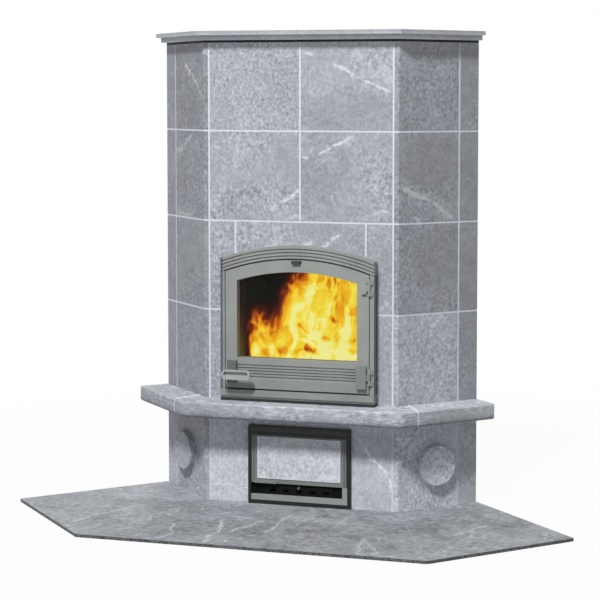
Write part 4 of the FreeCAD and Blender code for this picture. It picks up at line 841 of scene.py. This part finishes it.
def flameMaterial(name, sheet, look):
    # heights gives the flame's top along the sheet: below it the heat grows, and noise makes tongues
    s = Surface(name)
    x, _, z = s.parts(s.point())
    moved = x + sheet["shift"]
    curl = s.scaled(s.drift(s.join(moved, 0.0, z), 8.0, 2.0), look["curl"])
    lean = s.vectors("ADD", s.join(moved - z * 0.22, 0.0, z * 0.45), curl)
    leanMore = s.vectors("ADD", s.join(moved - z * 0.2, 0.3, z * 0.26), curl)
    wisps = s.noise(lean, look["wispScale"], detail=4.0, warp=0.5)
    licks = s.noise(leanMore, look["lickScale"], detail=4.0, rough=0.58, warp=0.4)
    across = (x + (wisps - 0.5) * 0.055 - fireBox["left"]) / (fireBox["right"] - fireBox["left"])
    top = s.parts(s.ramp(across, [(place, (level,) * 3) for place, level in sheet["heights"]]))[0]
    up = (z - fireBox["bottom"]) / (fireBox["top"] - fireBox["bottom"])
    under = top - up + (licks - 0.5) * 0.16
    body = under.rise(-0.22, 0.38) * across.rise(-0.01, 0.07)
    strand = (1 - abs(licks - 0.46) * 11.0).larger(0.0)
    marks = heatMarks(s, s.join(x, z, 0.0), s.drift(lean, 14.0, 3.0), look)
    uneven = (wisps - 0.5) * look["wisps"] + (licks - 0.5) * look["licks"] - strand * look["strands"] + marks
    heat = body * sheet["heat"] + uneven * (0.15 + body * 0.85)
    return s.set(colour=(0.0, 0.0, 0.0), rough=1.0, specular=0.0, glow=s.ramp(heat, look["colours"]),
                 glowPower=look["power"], alpha=under.rise(-0.22, -0.05))


def flameSheet(name, sheet):
    # an upright sheet: across and up are the grid's two ways, and its depth sways with the sum of two sines
    across, up = np.meshgrid(np.linspace(fireBox["left"], fireBox["right"], 61),
                             np.linspace(fireBox["bottom"], fireBox["top"], 45))
    share = (up - fireBox["bottom"]) / (fireBox["top"] - fireBox["bottom"])
    sway = 0.004 * np.sin(across * 26 + sheet["wave"]) * share + 0.003 * np.sin(up * 31 + sheet["wave"] * 2)
    points = np.stack([across, frontLine + sheet["deep"] + sway, up], axis=-1)
    return gridMesh(name, points, flameMaterial(name.replace("_", " "), sheet, flameLook))


for flameName, flame in flames.items():
    piece = flameSheet(flameName, flame)
    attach(piece, flame["body"])

logs = {
    "log_left": {"start": (-0.150, 0.130, 0.452), "end": (0.100, 0.150, 0.452), "radius": 0.036, "seed": 3},
    "log_right": {"start": (-0.060, 0.215, 0.452), "end": (0.165, 0.190, 0.452), "radius": 0.036, "seed": 5},
    "log_top": {"start": (-0.120, 0.190, 0.522), "end": (0.130, 0.140, 0.520), "radius": 0.034, "seed": 8}}
emberLook = {"half": 0.15, "front": 0.118, "back": 0.240, "level": 0.4125, "mound": 0.010, "lump": 0.016}
barkLook = {"char": srgb(26, 18, 14), "wood": srgb(92, 66, 48), "heat": srgb(255, 120, 24)}


def charredBark(look):  # cracked char that glows in some of its cracks
    s = Surface("charred bark")
    point = s.point()
    cracks = s.node("ShaderNodeTexVoronoi", {"feature": "DISTANCE_TO_EDGE"},
                    {"Vector": point, "Scale": 42.0})
    grain = s.noise(s.vectors("MULTIPLY", point, (0.4, 1.0, 1.0)), 90.0, detail=4.0, rough=0.6)
    heat = (1 - cracks.rise(0.01, 0.10)) * s.noise(point, 16.0).rise(0.42, 0.62)
    return s.set(colour=s.mix(look["char"], look["wood"], grain.rise(0.45, 0.75)), rough=0.9, glowPower=1.0,
                 glow=s.mix((0, 0, 0), look["heat"], heat), normal=s.bump(grain, 0.6, 0.004))


def logSurface(name, look, material):
    # a round profile carried along a line: its radius swells with three sines, and its ends close to points
    rng = np.random.default_rng(look["seed"])
    along, turn = np.meshgrid(np.linspace(0, 1, 41), np.linspace(0, 2 * math.pi, 49)[:-1], indexing="ij")
    swell = 1 + 0.05 * np.sin(turn * 3 + rng.uniform(0, 6))
    swell = swell + 0.03 * np.sin(turn * 11 + along * 9 + rng.uniform(0, 6))
    swell = swell + 0.025 * np.sin(turn * 19 - along * 16 + rng.uniform(0, 6))
    cap = np.clip(np.minimum(along, 1 - along) / 0.012, 0, 1)
    first, last = np.array(look["start"]), np.array(look["end"])
    way = (last - first) / np.linalg.norm(last - first)
    side = np.cross(way, (0, 0, 1.0))
    side = side / np.linalg.norm(side)
    up = np.cross(side, way)
    reach = (look["radius"] * swell * cap)[..., None]
    profile = np.cos(turn)[..., None] * side + np.sin(turn)[..., None] * up
    points = first + along[..., None] * (last - first) + reach * profile
    return gridMesh(name, points + np.array([0, frontLine, 0]), material, closed=True)


def emberBed(name, look, material):
    # a lumpy field: a low mound, times lumps that are the sum of two crossed sines and a slanting one
    half, middle = look["half"], (look["front"] + look["back"]) / 2
    across, deep = np.meshgrid(np.linspace(-half, half, 91), np.linspace(look["front"], look["back"], 41))
    mound = np.clip(1 - (across / half) ** 4, 0, 1)
    mound = mound * np.clip(1 - ((deep - middle) / (look["back"] - middle)) ** 4, 0, 1)
    lumps = 0.5 + 0.25 * np.sin(across * 170) * np.sin(deep * 190 + 1)
    lumps = lumps + 0.25 * np.sin(across * 71 + deep * 93)
    up = look["level"] + mound * (look["mound"] + look["lump"] * lumps)
    return gridMesh(name, np.stack([across, deep + frontLine, up], axis=-1), material)


bark = charredBark(barkLook)
fuel = [logSurface(logName, logLook, bark) for logName, logLook in logs.items()]
fuel.append(emberBed("ember_bed", emberLook, bark))
for piece in fuel:
    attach(piece, "lift_grate")
print("fire laid")
